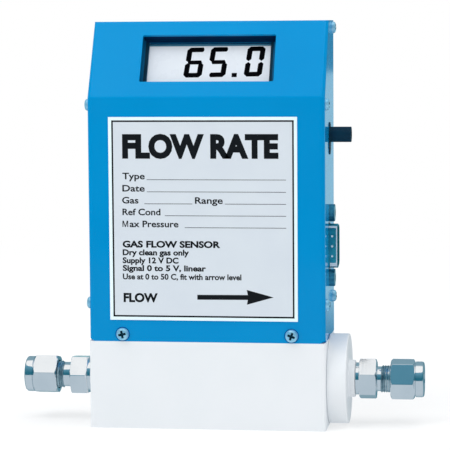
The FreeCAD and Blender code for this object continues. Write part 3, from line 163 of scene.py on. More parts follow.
acrossX = (0.08, 1.0, 1.0)      # long streaks along x
roundX = (6.0, 0.25, 0.25)      # turning lines around x
finishes = {
    "white_plastic": makeFinish("machinedWhite", linear(229, 233, 237), linear(226, 231, 235), 40,
                                (0.42, 0.55), grain=700, depth=0.000006, stretch=acrossX,
                                Specular_IOR_Level=0.3),
    "seal_rubber": makeFinish("sealRubber", linear(28, 28, 30), rough=(0.55, 0.7)),
    "element_steel": makeFinish("elementSteel", linear(190, 192, 194), rough=(0.25, 0.4), metal=1.0),
    "winding_copper": makeFinish("windingCopper", linear(184, 115, 60), rough=(0.25, 0.4), metal=1.0),
    "sensor_aluminium": makeFinish("sensorAluminium", linear(200, 203, 206), rough=(0.3, 0.45), metal=1.0),
    "fitting_steel": makeFinish("turnedSteel", linear(238, 241, 243), linear(232, 236, 239), 120,
                                (0.07, 0.13), metal=1.0, grain=420, depth=0.000003, stretch=roundX),
    "thread_steel": makeFinish("threadSteel", linear(186, 206, 212), linear(150, 176, 186), 900, (0.3, 0.4),
                               metal=1.0, grain=900, depth=0.000003),
    "blue_paint": makeFinish("blueEnamel", linear(0, 138, 200), linear(0, 135, 197), 30,
                             (0.09, 0.13), grain=1400, depth=0.0000008, Specular_IOR_Level=0.11),
    "chassis_paint": makeFinish("chassisEnamel", linear(0, 132, 192), linear(0, 128, 188), 30,
                                (0.16, 0.22), grain=1400, depth=0.000001, Specular_IOR_Level=0.11),
    # painted reflection: the screw steel's blue tint stands in for the blue housing mirrored in it
    "screw_steel": makeFinish("screwSteelBlueReflection", linear(176, 226, 246), linear(140, 206, 238), 700,
                              (0.3, 0.4), metal=0.6, grain=2400, depth=0.000003),
    "label_film": makeFinish("labelFilm", linear(228, 246, 251), linear(223, 243, 249), 50, (0.4, 0.5),
                             grain=1600, depth=0.000001, Specular_IOR_Level=0.3),
    "display_black": makeFinish("recessBlue", linear(0, 92, 134), linear(0, 86, 127), 60, (0.4, 0.55),
                                grain=1800, depth=0.000002, Specular_IOR_Level=0.1),
    "display_glass": makeFinish("crystalFace", linear(217, 224, 231), linear(214, 221, 229), 60, (0.25, 0.32),
                                grain=500, depth=0.000001, Specular_IOR_Level=0.3),
    "strip_rubber": makeFinish("stripRubber", linear(205, 120, 120), rough=(0.5, 0.65)),
    "board_green": makeFinish("boardGreen", linear(20, 92, 52), linear(16, 80, 45), 300, (0.3, 0.45)),
    "chip_black": makeFinish("chipBlack", linear(30, 30, 32), rough=(0.45, 0.6)),
    "trimmer_blue": makeFinish("trimmerBlue", linear(30, 80, 160), rough=(0.35, 0.5)),
    "can_aluminium": makeFinish("canAluminium", linear(205, 208, 212), rough=(0.25, 0.35), metal=1.0),
    "cable_jacket": makeFinish("cableJacket", linear(120, 124, 130), rough=(0.5, 0.65)),
    # painted reflection: the shell's teal stands in for teal surroundings mirrored in the tin
    "connector_tin": makeFinish("shellTinTealReflection", linear(52, 168, 188), linear(40, 150, 172), 400,
                                (0.12, 0.2), metal=0.7, grain=1800, depth=0.000003),
    "connector_plastic": makeFinish("insulatorPlastic", linear(20, 84, 104), rough=(0.4, 0.55)),
    "contact_gold": makeFinish("contactGold", linear(218, 184, 104), rough=(0.2, 0.3), metal=1.0),
    # painted reflection: the nuts' teal stands in for teal surroundings mirrored in the steel
    "jack_nut_steel": makeFinish("nutSteelTealReflection", linear(60, 140, 164), linear(30, 104, 130), 900,
                                 (0.12, 0.22), metal=0.7, grain=2400, depth=0.000003),
    "jack_black": makeFinish("jackBlack", linear(3, 52, 72), linear(2, 42, 62), 200, (0.42, 0.55),
                             grain=1500, depth=0.000003, Specular_IOR_Level=0.12),
    # painted shade: the screws' cross recesses are coloured dark teal where light would leave them in shade
    "screw_recess": makeFinish("recessPaintedShade", linear(6, 66, 88), linear(4, 54, 74), 800, (0.5, 0.6),
                               grain=2400, depth=0.000003, Specular_IOR_Level=0.1),
    "screw_shade": makeFinish("screwShade", linear(0, 96, 158), linear(0, 88, 148), 400, (0.4, 0.5),
                              grain=1500, depth=0.000002, Specular_IOR_Level=0.05),
    "rim_bright": makeFinish("rimPaintedHighlight", linear(236, 242, 245), linear(226, 234, 239), 500, (0.3, 0.4),
                             metal=0.3, grain=2400, depth=0.000002),
    "mask_dark": makeFinish("maskDark", linear(2, 50, 70), linear(1, 43, 62), 200, (0.5, 0.6),
                            grain=1500, depth=0.000002, Specular_IOR_Level=0.1),
    "shade_navy": makeFinish("shadeNavy", linear(0, 40, 78), linear(0, 36, 72), 200, (0.5, 0.6),
                             grain=1500, depth=0.000002, Specular_IOR_Level=0.05),
    "margin_teal": makeFinish("marginShadeTeal", linear(60, 118, 145), linear(50, 108, 135), 300, (0.4, 0.5),
                              grain=1500, depth=0.000001, Specular_IOR_Level=0.1),
    "label_field": makeFinish("fieldPrint", linear(209, 218, 226), linear(206, 215, 224), 60, (0.42, 0.5),
                              grain=1600, depth=0.000001, Specular_IOR_Level=0.25),
    "label_ink": makeFinish("inkPrint", linear(14, 17, 22), linear(10, 13, 18), 900, (0.5, 0.6),
                            grain=2600, depth=0.000001, Specular_IOR_Level=0.2),
    "segment_black": makeFinish("segmentBlack", linear(3, 4, 7), linear(2, 2, 5), 300, (0.5, 0.6),
                                grain=500, depth=0.000001, Specular_IOR_Level=0.02),
}
print("finishes made", len(finishes))


def placePrint(work, name, finish, slotName):
    # plates as a piece of their own
    bmesh.ops.recalc_face_normals(work, faces=work.faces)
    register(newObject(name, meshFrom(work, name, finishes[finish])), slotName)


# every CAD node first gets its slot's finish
slotOfNode = {entry["node"]: entry["material_slot"] for entry in frame["record"]["subparts"]}
for nodeName, item in frame["nodes"].items():
    item.data.materials.clear()
    item.data.materials.append(finishes[slotOfNode[nodeName]])
print("nodes with a finish", len(slotOfNode))


# CAD nodes that show, merged and with soft edges

mergeDistance = 0.000002    # metres between doubled points
flatAngle = 0.4             # degrees under which faces are joined
dressing = {
    "flow_body": {"name": "plasticBody", "edge": 0.35, "angle": 40},
    "flow_cap": {"name": "plasticCap", "edge": 0.35, "angle": 40},
    "front_cover": {"name": "foldedCover", "edge": 0.12, "angle": 40},
    "rear_chassis": {"name": "backChassis", "edge": 0.12, "angle": 40},
    "front_label": {"name": "labelPlate", "edge": 0.05, "angle": 40},
    "display_frame": {"name": "windowFrame", "edge": 0.08, "angle": 40},
    "display_glass": {"name": "crystalPanel", "edge": 0.1, "angle": 40},
    "connector_shell": {"name": "connectorShell", "edge": 0.08, "angle": 40},
    "connector_insulator": {"name": "connectorInsert", "edge": 0.05, "angle": 40},
    "upper_jack_nut": {"name": "upperJackNut", "edge": 0.08, "angle": 25},
    "lower_jack_nut": {"name": "lowerJackNut", "edge": 0.08, "angle": 25},
    "power_jack": {"name": "jackBarrel", "edge": 0.12, "angle": 40},
    "jack_ring": {"name": "jackRing", "edge": 0.1, "angle": 40, "squeeze": (1.0, 0.6)},
}


def dress(nodeName, settings):
    mesh = frame["nodes"][nodeName].data.copy()
    mesh.name = settings["name"]
    work = bmesh.new()
    work.from_mesh(mesh)
    bmesh.ops.remove_doubles(work, verts=work.verts, dist=mergeDistance)
    bmesh.ops.dissolve_limit(work, angle_limit=math.radians(flatAngle), verts=work.verts, edges=work.edges)
    if "squeeze" in settings:
        # made narrower in depth around its centre
        centre, share = settings["squeeze"]
        for vertex in work.verts:
            vertex.co.y = centre * mm + (vertex.co.y - centre * mm) * share
    work.to_mesh(mesh)
    work.free()
    if mesh.has_custom_normals:
        mesh.attributes.remove(mesh.attributes["custom_normal"])
    finishMesh(mesh)
    item = newObject(settings["name"], mesh)
    soft = item.modifiers.new("softEdges", "BEVEL")
    soft.width = settings["edge"] * mm
    soft.segments = 2
    soft.limit_method = "ANGLE"
    soft.angle_limit = math.radians(settings["angle"])
    even = item.modifiers.new("evenShade", "WEIGHTED_NORMAL")
    even.keep_sharp = True
    finished = meshOf(item)
    item.modifiers.clear()
    item.data = finished
    register(item, slotOfNode[nodeName], nodeName)
    return item


dressed = {nodeName: dress(nodeName, settings) for nodeName, settings in dressing.items()}
print("dressed nodes", len(dressed))


# turned and hexagonal steel of the tube fittings

axisZ = 17.4    # height of the flow axis, mm
# radii, flats and places along the axis in mm, counted from the port's face
fitting = {"flats": 14.1, "nutFlats": 13.9, "edge": 0.42, "square": 1.06, "turned": 1.0, "chamfer": 30,
           "collar": 6.15, "neck": 4.75, "core": 4.82, "ridge": 0.46, "pitch": 0.92,
           "tail": 6.85, "tube": 3.25,
           "hexStart": 1.6, "hexEnd": 8.1, "neckEnd": 11.5, "end": 20.6, "bore": 2.4, "socket": 9.8,
           "nutStart": 13.6, "nutHexEnd": 22.8, "tailEnd": 26.4, "inside": 5.6,
           "threadInset": 0.5, "hexSamples": 20, "turnSamples": 96, "coneSteps": 7, "smooth": 28}
# face is x in mm, side is the way it points, turns are in degrees
tubeEnds = {"inlet": {"face": -47.7, "side": -1, "bodyTurn": 4.8, "nutTurn": 12.0, "threadFrom": 11.4},
            "outlet": {"face": 55.2, "side": 1, "bodyTurn": -19.5, "nutTurn": 6.5, "threadFrom": 10.1}}


def shellRound(name, rings, material):
    # rings of points, each joined to the next and the last to the first
    work = bmesh.new()
    made = [[work.verts.new(point) for point in ring] for ring in rings]
    count = len(made[0])
    for low, high in zip(made, made[1:] + made[:1]):
        for at in range(count):
            after = (at + 1) % count
            work.faces.new((low[at], low[after], high[after], high[at]))
    bmesh.ops.remove_doubles(work, verts=work.verts, dist=0.0000005)
    bmesh.ops.recalc_face_normals(work, faces=work.faces)
    mesh = meshFrom(work, name, material)
    finishMesh(mesh, fitting["smooth"])
    return newObject(name, mesh)


def turnedRings(profile, face, side, samples):
    rings = []
    for along, radius in profile:
        ring = []
        for step in range(samples):
            angle = 2 * math.pi * step / samples
            ring.append(((face + side * along) * mm, radius * math.cos(angle) * mm,
                         (axisZ + radius * math.sin(angle)) * mm))
        rings.append(ring)
    return rings


def hexRings(start, end, face, side, turn, inner, flats, share):
    # a hexagon whose corners are turned off by a 30 degree cone at both ends
    samples = 6 * fitting["hexSamples"]
    apothem = flats / 2
    corner = apothem / math.cos(math.radians(30))
    slope = math.tan(math.radians(fitting["chamfer"]))
    least = apothem * share
    reach = (corner - least) * slope
    stations = [(start, inner)]
    steps = fitting["coneSteps"]
    for step in range(steps + 1):
        stations.append((start + reach * step / steps, least + (corner - least) * step / steps))
    for step in range(steps + 1):
        back = steps - step
        stations.append((end - reach * back / steps, least + (corner - least) * back / steps))
    stations.append((end, inner))
    rings = []
    for along, limit in stations:
        ring = []
        for step in range(samples):
            angle = 2 * math.pi * step / samples
            local = (angle % math.radians(60)) - math.radians(30)
            radius = min(apothem / math.cos(local), limit)
            spin = angle + math.radians(turn) * side
            ring.append(((face + side * along) * mm, radius * math.cos(spin) * mm,
                         (axisZ + radius * math.sin(spin)) * mm))
        rings.append(ring)
    return rings


def roundHex(item):
    # small round edges between the flats
    soft = item.modifiers.new("softEdges", "BEVEL")
    soft.width = fitting["edge"] * mm
    soft.segments = 3
    soft.limit_method = "ANGLE"
    soft.angle_limit = math.radians(40)
    finished = meshOf(item)
    item.modifiers.clear()
    item.data = finished
    finishMesh(finished, fitting["smooth"])


def joinPieces(name, items):
    work = bmesh.new()
    used = []
    for item in items:
        known = len(work.faces)
        work.from_mesh(item.data)
        if item.data.materials[0] not in used:
            used.append(item.data.materials[0])
        for face in list(work.faces)[known:]:
            face.material_index = used.index(item.data.materials[0])
    mesh = meshFrom(work, name, *used)
    for item in items:
        old = item.data
        bpy.data.objects.remove(item)
        bpy.data.meshes.remove(old)
    return newObject(name, mesh)


def inputSocket(tree, name, kind, value=None):
    socket = tree.interface.new_socket(name=name, in_out="INPUT", socket_type=kind)
    if value is not None:
        socket.default_value = value
    return socket


def startTree(name):
    tree = bpy.data.node_groups.new(name, "GeometryNodeTree")
    inputSocket(tree, "Geometry", "NodeSocketGeometry")
    tree.interface.new_socket(name="Geometry", in_out="OUTPUT", socket_type="NodeSocketGeometry")
    return tree


def threadTree():
    # a triangular ridge wound along the x axis
    tree = startTree("windThread")
    inputSocket(tree, "threadRadius", "NodeSocketFloat", 0.005)
    inputSocket(tree, "threadLength", "NodeSocketFloat", 0.009)
    inputSocket(tree, "turns", "NodeSocketFloat", 7.0)
    inputSocket(tree, "ridge", "NodeSocketFloat", 0.0004)
    inputSocket(tree, "start", "NodeSocketVector", (0, 0, 0))
    inputSocket(tree, "steel", "NodeSocketMaterial")
    into = addNode(tree, "NodeGroupInput")
    spiral = addNode(tree, "GeometryNodeCurveSpiral")
    spiral.inputs["Resolution"].default_value = 48
    link = tree.links.new
    link(into.outputs["turns"], spiral.inputs["Rotations"])
    link(into.outputs["threadRadius"], spiral.inputs["Start Radius"])
    link(into.outputs["threadRadius"], spiral.inputs["End Radius"])
    link(into.outputs["threadLength"], spiral.inputs["Height"])
    section = addNode(tree, "GeometryNodeCurvePrimitiveCircle")
    section.inputs["Resolution"].default_value = 4
    link(into.outputs["ridge"], section.inputs["Radius"])
    sweep = addNode(tree, "GeometryNodeCurveToMesh")
    sweep.inputs["Fill Caps"].default_value = True
    link(spiral.outputs["Curve"], sweep.inputs["Curve"])
    link(section.outputs["Curve"], sweep.inputs["Profile Curve"])
    place = addNode(tree, "GeometryNodeTransform")
    place.inputs["Rotation"].default_value = (0, math.radians(90), 0)
    link(into.outputs["start"], place.inputs["Translation"])
    link(sweep.outputs["Mesh"], place.inputs["Geometry"])
    real = addNode(tree, "GeometryNodeRealizeInstances")
    link(place.outputs["Geometry"], real.inputs["Geometry"])
    paint = addNode(tree, "GeometryNodeSetMaterial")
    link(real.outputs["Geometry"], paint.inputs["Geometry"])
    link(into.outputs["steel"], paint.inputs["Material"])
    out = addNode(tree, "NodeGroupOutput")
    link(paint.outputs["Geometry"], out.inputs["Geometry"])
    return tree


def runTree(name, tree, mesh, **values):
    item = newObject(name, mesh)
    modifier = item.modifiers.new("build", "NODES")
    modifier.node_group = tree
    for socket in tree.interface.items_tree:
        if socket.item_type == "SOCKET" and socket.in_out == "INPUT" and socket.name in values:
            modifier[socket.identifier] = values[socket.name]
    made = meshOf(item)
    item.modifiers.clear()
    item.data = made
    made.name = name
    return item


threads = threadTree()


def fittingBody(name, nodeName, where):
    steel = finishes["fitting_steel"]
    face, side, turn, threadFrom = where["face"], where["side"], where["bodyTurn"], where["threadFrom"]
    hexStart, hexEnd = fitting["hexStart"], fitting["hexEnd"]
    neckEnd, end, bore = fitting["neckEnd"], fitting["end"], fitting["bore"]
    shaft = [(0.02, bore), (0.02, fitting["collar"] - 0.25), (0.27, fitting["collar"]),
             (hexStart, fitting["collar"]), (hexStart + 0.05, fitting["collar"] - 0.1),
             (hexEnd - 0.05, fitting["neck"] + 0.5),
             (hexEnd, fitting["neck"] + 0.45), (hexEnd + 0.45, fitting["neck"]),
             (neckEnd - 0.2, fitting["neck"]), (neckEnd, fitting["core"]),
             (end - 0.4, fitting["core"]), (end, fitting["core"] - 0.4), (end, fitting["tube"]),
             (end - fitting["socket"], fitting["tube"]), (end - fitting["socket"], bore)]
    middle = shellRound(name + "Shaft", turnedRings(shaft, face, side, fitting["turnSamples"]), steel)
    hexagon = shellRound(name + "Hex", hexRings(hexStart, hexEnd, face, side, turn, fitting["neck"] + 0.3,
                                                fitting["flats"], fitting["square"]), steel)
    roundHex(hexagon)
    length = end - threadFrom - fitting["threadInset"]
    first = face + threadFrom if side > 0 else face - end + fitting["threadInset"]
    ridge = runTree(name + "Thread", threads, bpy.data.meshes.new(name),
                    threadRadius=fitting["core"] * mm, threadLength=length * mm,
                    turns=length / fitting["pitch"], ridge=fitting["ridge"] * mm,
                    start=(first * mm, 0.0, axisZ * mm), steel=finishes["thread_steel"])
    finishMesh(ridge.data, 20)
    return register(joinPieces(name, [middle, hexagon, ridge]), "fitting_steel", nodeName)


def fittingNut(name, nodeName, where):
    steel = finishes["fitting_steel"]
    face, side, turn = where["face"], where["side"], where["nutTurn"]
    start, hexEnd, tailEnd = fitting["nutStart"], fitting["nutHexEnd"], fitting["tailEnd"]
    tail, inside = fitting["tail"], fitting["inside"]
    barrel = [(start + 0.03, inside), (start + 0.03, inside + 0.9), (start + 1.0, inside + 1.0),
              (hexEnd - 0.1, tail - 0.35), (hexEnd + 0.25, tail - 0.35), (hexEnd + 0.5, tail),
              (tailEnd - 0.9, tail), (tailEnd - 0.45, tail - 0.12), (tailEnd - 0.14, tail - 0.42),
              (tailEnd, tail - 0.85), (tailEnd, fitting["tube"] + 0.5),
              (tailEnd - 0.4, fitting["tube"] + 0.05), (tailEnd - 2.0, fitting["tube"]),
              (hexEnd - 1.0, inside)]
    middle = shellRound(name + "Barrel", turnedRings(barrel, face, side, fitting["turnSamples"]), steel)
    hexagon = shellRound(name + "Hex", hexRings(start, hexEnd, face, side, turn, inside + 0.8,
                                                fitting["nutFlats"], fitting["turned"]), steel)
    roundHex(hexagon)
    return register(joinPieces(name, [middle, hexagon]), "fitting_steel", nodeName)


for name, where in tubeEnds.items():
    fittingBody(name + "Body", name + "_fitting_body", where)
for name, where in tubeEnds.items():
    fittingNut(name + "Nut", name + "_fitting_nut", where)
print("tube fittings made")


# cross-recess screws, from one tree; shares are of the head's radius or height

screwShape = {"segments": 44, "rings": 26, "spread": 0.62, "crown": 0.72, "bladeLow": 0.62, "bladeTop": 1.3,
              "bladeWidth": 0.3, "bladeTall": 1.6, "reach": 0.86, "depth": 0.62}


def screwTree():
    tree = startTree("seatScrews")
    inputSocket(tree, "headRadius", "NodeSocketFloat", 0.0025)
    inputSocket(tree, "headHeight", "NodeSocketFloat", 0.0017)
    inputSocket(tree, "recessReach", "NodeSocketFloat", 0.0014)
    inputSocket(tree, "recessDepth", "NodeSocketFloat", 0.0011)
    inputSocket(tree, "steel", "NodeSocketMaterial")
    inputSocket(tree, "shade", "NodeSocketMaterial")
    into = addNode(tree, "NodeGroupInput")
    link = tree.links.new

    def maths(operation, first, second=None, value=None):
        node = addNode(tree, "ShaderNodeMath", operation=operation)
        link(first, node.inputs[0])
        if second is not None:
            link(second, node.inputs[1])
        elif value is not None:
            node.inputs[1].default_value = value
        return node.outputs[0]

    ball = addNode(tree, "GeometryNodeMeshUVSphere")
    ball.inputs["Segments"].default_value = screwShape["segments"]
    ball.inputs["Rings"].default_value = screwShape["rings"]
    ball.inputs["Radius"].default_value = 1.0
    where = addNode(tree, "GeometryNodeInputPosition")
    parts = addNode(tree, "ShaderNodeSeparateXYZ")
    link(where.outputs["Position"], parts.inputs["Vector"])
    flat = addNode(tree, "ShaderNodeCombineXYZ")
    link(parts.outputs["X"], flat.inputs["X"])
    link(parts.outputs["Y"], flat.inputs["Y"])
    length = addNode(tree, "ShaderNodeVectorMath", operation="LENGTH")
    link(flat.outputs["Vector"], length.inputs[0])
    away = addNode(tree, "ShaderNodeVectorMath", operation="NORMALIZE")
    link(flat.outputs["Vector"], away.inputs[0])
    outward = maths("POWER", length.outputs["Value"], value=screwShape["spread"])
    spread = maths("MULTIPLY", outward, into.outputs["headRadius"])
    wide = addNode(tree, "ShaderNodeVectorMath", operation="SCALE")
    link(away.outputs["Vector"], wide.inputs[0])
    link(spread, wide.inputs["Scale"])
    crown = maths("POWER", maths("MAXIMUM", parts.outputs["Z"], value=0.0), value=screwShape["crown"])
    rise = maths("MULTIPLY", crown, into.outputs["headHeight"])
    lift = addNode(tree, "ShaderNodeCombineXYZ")
    link(rise, lift.inputs["Z"])
    total = addNode(tree, "ShaderNodeVectorMath", operation="ADD")
    link(wide.outputs["Vector"], total.inputs[0])
    link(lift.outputs["Vector"], total.inputs[1])
    dome = addNode(tree, "GeometryNodeSetPosition")
    link(ball.outputs["Mesh"], dome.inputs["Geometry"])
    link(total.outputs["Vector"], dome.inputs["Position"])
    # two tapered blades cut the cross and mark its faces for painted shade, a darker finish
    blade = addNode(tree, "GeometryNodeMeshCone")
    blade.inputs["Vertices"].default_value = 4
    blade.inputs["Depth"].default_value = 1.0
    blade.inputs["Radius Bottom"].default_value = screwShape["bladeLow"]
    blade.inputs["Radius Top"].default_value = screwShape["bladeTop"]
    square = addNode(tree, "GeometryNodeTransform")
    square.inputs["Rotation"].default_value = (0, 0, math.radians(45))
    link(blade.outputs["Mesh"], square.inputs["Geometry"])
    floorAt = maths("SUBTRACT", into.outputs["headHeight"], into.outputs["recessDepth"])
    seat = addNode(tree, "ShaderNodeCombineXYZ")
    link(floorAt, seat.inputs["Z"])
    bladeWidth = maths("MULTIPLY", into.outputs["recessReach"], value=screwShape["bladeWidth"])
    tall = maths("MULTIPLY", into.outputs["recessDepth"], value=screwShape["bladeTall"])
    cutters = []
    bladeReach = into.outputs["recessReach"]
    for first, second in ((bladeReach, bladeWidth), (bladeWidth, bladeReach)):
        sizes = addNode(tree, "ShaderNodeCombineXYZ")
        link(first, sizes.inputs["X"])
        link(second, sizes.inputs["Y"])
        link(tall, sizes.inputs["Z"])
        placed = addNode(tree, "GeometryNodeTransform")
        link(square.outputs["Geometry"], placed.inputs["Geometry"])
        link(sizes.outputs["Vector"], placed.inputs["Scale"])
        link(seat.outputs["Vector"], placed.inputs["Translation"])
        mark = addNode(tree, "GeometryNodeStoreNamedAttribute", data_type="BOOLEAN", domain="FACE")
        mark.inputs["Name"].default_value = "recess"
        mark.inputs["Value"].default_value = True
        link(placed.outputs["Geometry"], mark.inputs["Geometry"])
        cutters.append(mark)
    cut = addNode(tree, "GeometryNodeMeshBoolean", operation="DIFFERENCE", solver="EXACT")
    link(dome.outputs["Geometry"], cut.inputs["Mesh 1"])
    for placed in cutters:
        link(placed.outputs["Geometry"], cut.inputs["Mesh 2"])
    facing = addNode(tree, "GeometryNodeInputNamedAttribute", data_type="FLOAT_VECTOR")
    facing.inputs["Name"].default_value = "facing"
    spin = addNode(tree, "GeometryNodeInputNamedAttribute", data_type="FLOAT")
    spin.inputs["Name"].default_value = "spin"
    align = addNode(tree, "FunctionNodeAlignRotationToVector", axis="Z")
    link(facing.outputs["Attribute"], align.inputs["Vector"])
    twist = addNode(tree, "FunctionNodeAxisAngleToRotation")
    twist.inputs["Axis"].default_value = (0, 0, 1)
    link(spin.outputs["Attribute"], twist.inputs["Angle"])
    both = addNode(tree, "FunctionNodeRotateRotation", rotation_space="LOCAL")
    link(align.outputs["Rotation"], both.inputs["Rotation"])
    link(twist.outputs["Rotation"], both.inputs["Rotate By"])
    points = addNode(tree, "GeometryNodeInstanceOnPoints")
    link(into.outputs["Geometry"], points.inputs["Points"])
    link(cut.outputs["Mesh"], points.inputs["Instance"])
    link(both.outputs["Rotation"], points.inputs["Rotation"])
    real = addNode(tree, "GeometryNodeRealizeInstances")
    link(points.outputs["Instances"], real.inputs["Geometry"])
    paint = addNode(tree, "GeometryNodeSetMaterial")
    link(real.outputs["Geometry"], paint.inputs["Geometry"])
    link(into.outputs["steel"], paint.inputs["Material"])
    inCross = addNode(tree, "GeometryNodeInputNamedAttribute", data_type="BOOLEAN")
    inCross.inputs["Name"].default_value = "recess"
    darken = addNode(tree, "GeometryNodeSetMaterial")
    link(paint.outputs["Geometry"], darken.inputs["Geometry"])
    link(inCross.outputs["Attribute"], darken.inputs["Selection"])
    link(into.outputs["shade"], darken.inputs["Material"])
    out = addNode(tree, "NodeGroupOutput")
    link(darken.outputs["Geometry"], out.inputs["Geometry"])
    return tree


# depth and height of the screws in each side, mm
sideSeats = ((-15, 47.8), (-15, 123.6), (13.5, 47.8), (13.5, 152.2))
screws = {
    "frontScrews": {"node": "front_screws", "facing": (0, -1, 0), "radius": 2.42, "height": 1.7,
                    "at": [(-32.4, -19.0, 36.3), (32.4, -19.0, 36.3)], "spin": [12, -20]},
    "backScrews": {"node": "back_screws", "facing": (0, 1, 0), "radius": 2.5, "height": 1.7,
                   "at": [(-32.4, 19.0, 36.3), (32.4, 19.0, 36.3)], "spin": [30, 5]},
    "leftSideScrews": {"node": "left_side_screws", "facing": (-1, 0, 0), "radius": 2.3, "height": 1.55,
                       "at": [(-45.2, y, z) for y, z in sideSeats],
                       "spin": [15, 40, 62, 8]},
    "rightSideScrews": {"node": "right_side_screws", "facing": (1, 0, 0), "radius": 2.3, "height": 1.55,
                        "at": [(45.2, y, z) for y, z in sideSeats],
                        "spin": [25, 70, 10, 33]},
}
screwNodes = screwTree()
for name, settings in screws.items():
    seats = bpy.data.meshes.new(name + "Seats")
    seats.from_pydata([tuple(value * mm for value in point) for point in settings["at"]], [], [])
    seats.attributes.new("facing", "FLOAT_VECTOR", "POINT")
    seats.attributes.new("spin", "FLOAT", "POINT")
    for at, angle in enumerate(settings["spin"]):
        seats.attributes["facing"].data[at].vector = settings["facing"]
        seats.attributes["spin"].data[at].value = math.radians(angle)
    item = runTree(name, screwNodes, seats,
                   headRadius=settings["radius"] * mm, headHeight=settings["height"] * mm,
                   recessReach=settings["radius"] * screwShape["reach"] * mm,
                   recessDepth=settings["height"] * screwShape["depth"] * mm,
                   steel=finishes["screw_steel"], shade=finishes["screw_recess"])
    finishMesh(item.data, 30)
    register(item, "screw_steel", settings["node"])
print("screws seated", len(screws))


# print on the label

labelPlace = uprightPlace(-19.3)


def slab(work, corners, low, high, place):
    # a thin plate from a flat outline, in millimetres
    bottom = [work.verts.new(place @ Vector((x * mm, y * mm, low * mm))) for x, y in corners]
    top = [work.verts.new(place @ Vector((x * mm, y * mm, high * mm))) for x, y in corners]
    work.faces.new(top)
    work.faces.new(list(reversed(bottom)))
    for at in range(len(corners)):
        after = (at + 1) % len(corners)
        work.faces.new((bottom[at], bottom[after], top[after], top[at]))


def bar(work, left, right, low, high, thick, place, base=0.0):
    slab(work, [(left, low), (right, low), (right, high), (left, high)], base, base + thick, place)


def wordMesh(words, weight):
    curve = bpy.data.curves.new("words", "FONT")
    curve.body = words
    curve.offset = weight
    curve.extrude = 0.01
    curve.resolution_u = 4
    item = newObject("words", curve)
    mesh = meshOf(item)
    bpy.data.objects.remove(item)
    bpy.data.curves.remove(curve)
    return mesh


def capHeight():
    mesh = wordMesh("H", 0.0)
    height = max(vertex.co.y for vertex in mesh.vertices)
    bpy.data.meshes.remove(mesh)
    return height


capUnit = capHeight()


def setWords(work, words, left, base, height, width, weight, place, lift=0.0, thick=0.02):
    mesh = wordMesh(words, weight)
    xs = [vertex.co.x for vertex in mesh.vertices]
    zs = [vertex.co.z for vertex in mesh.vertices]
    start, wide = min(xs), max(xs) - min(xs)
    across = width / wide if width else height / capUnit
    up = height / capUnit
    for vertex in mesh.vertices:
        x, y, z = vertex.co
        share = (z - min(zs)) / (max(zs) - min(zs))
        vertex.co = place @ Vector(((left + (x - start) * across) * mm, (base + y * up) * mm,
                                    (lift + thick * share) * mm))
    work.from_mesh(mesh)
    bpy.data.meshes.remove(mesh)


label = {
    "outer": (-37.05, 34.85, 41.8, 119.1), "inset": 1.25, "line": 0.62, "thick": 0.02,
    "title": ("FLOW RATE", -31.7, 104.0, 8.0, 59.5, 0.055),
    "fields": [("Type", -31.75, 95.6, 2.35, 8.6), ("Date", -31.8, 90.95, 2.35, 8.6),
               ("Gas", -31.95, 86.4, 2.35, 6.3), ("Range", -4.0, 86.4, 2.35, 10.6),
               ("Ref Cond", -31.85, 81.95, 2.35, 14.6),
               ("ax Pressure", -29.15, 77.4, 2.35, 18.75)],
    "bigM": (-31.9, 77.4, 2.2, 2.35, 0.36), "fieldWeight": 0.02, "rule": 0.2,
    "rules": [(-22.4, 30.6, 95.3), (-22.4, 30.6, 90.7), (-23.4, -5.0, 86.15), (7.4, 30.6, 86.15),
              (-15.6, 30.6, 81.65), (-8.0, 30.6, 77.15)],
    "lines": [("GAS FLOW SENSOR", -31.95, 69.7, 2.3, 37.5, 0.042),
              ("Dry clean gas only", -31.95, 66.7, 2.05, 25.5, 0.036),
              ("Supply 12 V DC", -32.0, 63.65, 2.05, 21.5, 0.036),
              ("Signal 0 to 5 V, linear", -32.0, 60.7, 2.05, 32.0, 0.036),
              ("Use at 0 to 50 C, fit with arrow level", -32.0, 57.45, 2.05, 45.5, 0.03)],
    "flow": ("FLOW", -31.8, 48.85, 3.1, 13.2, 0.045),
    "arrow": [(-3.4, 49.85), (15.9, 49.95), (15.5, 48.1), (25.7, 51.0), (15.5, 53.75), (15.9, 51.8),
              (-3.4, 51.7)],
}


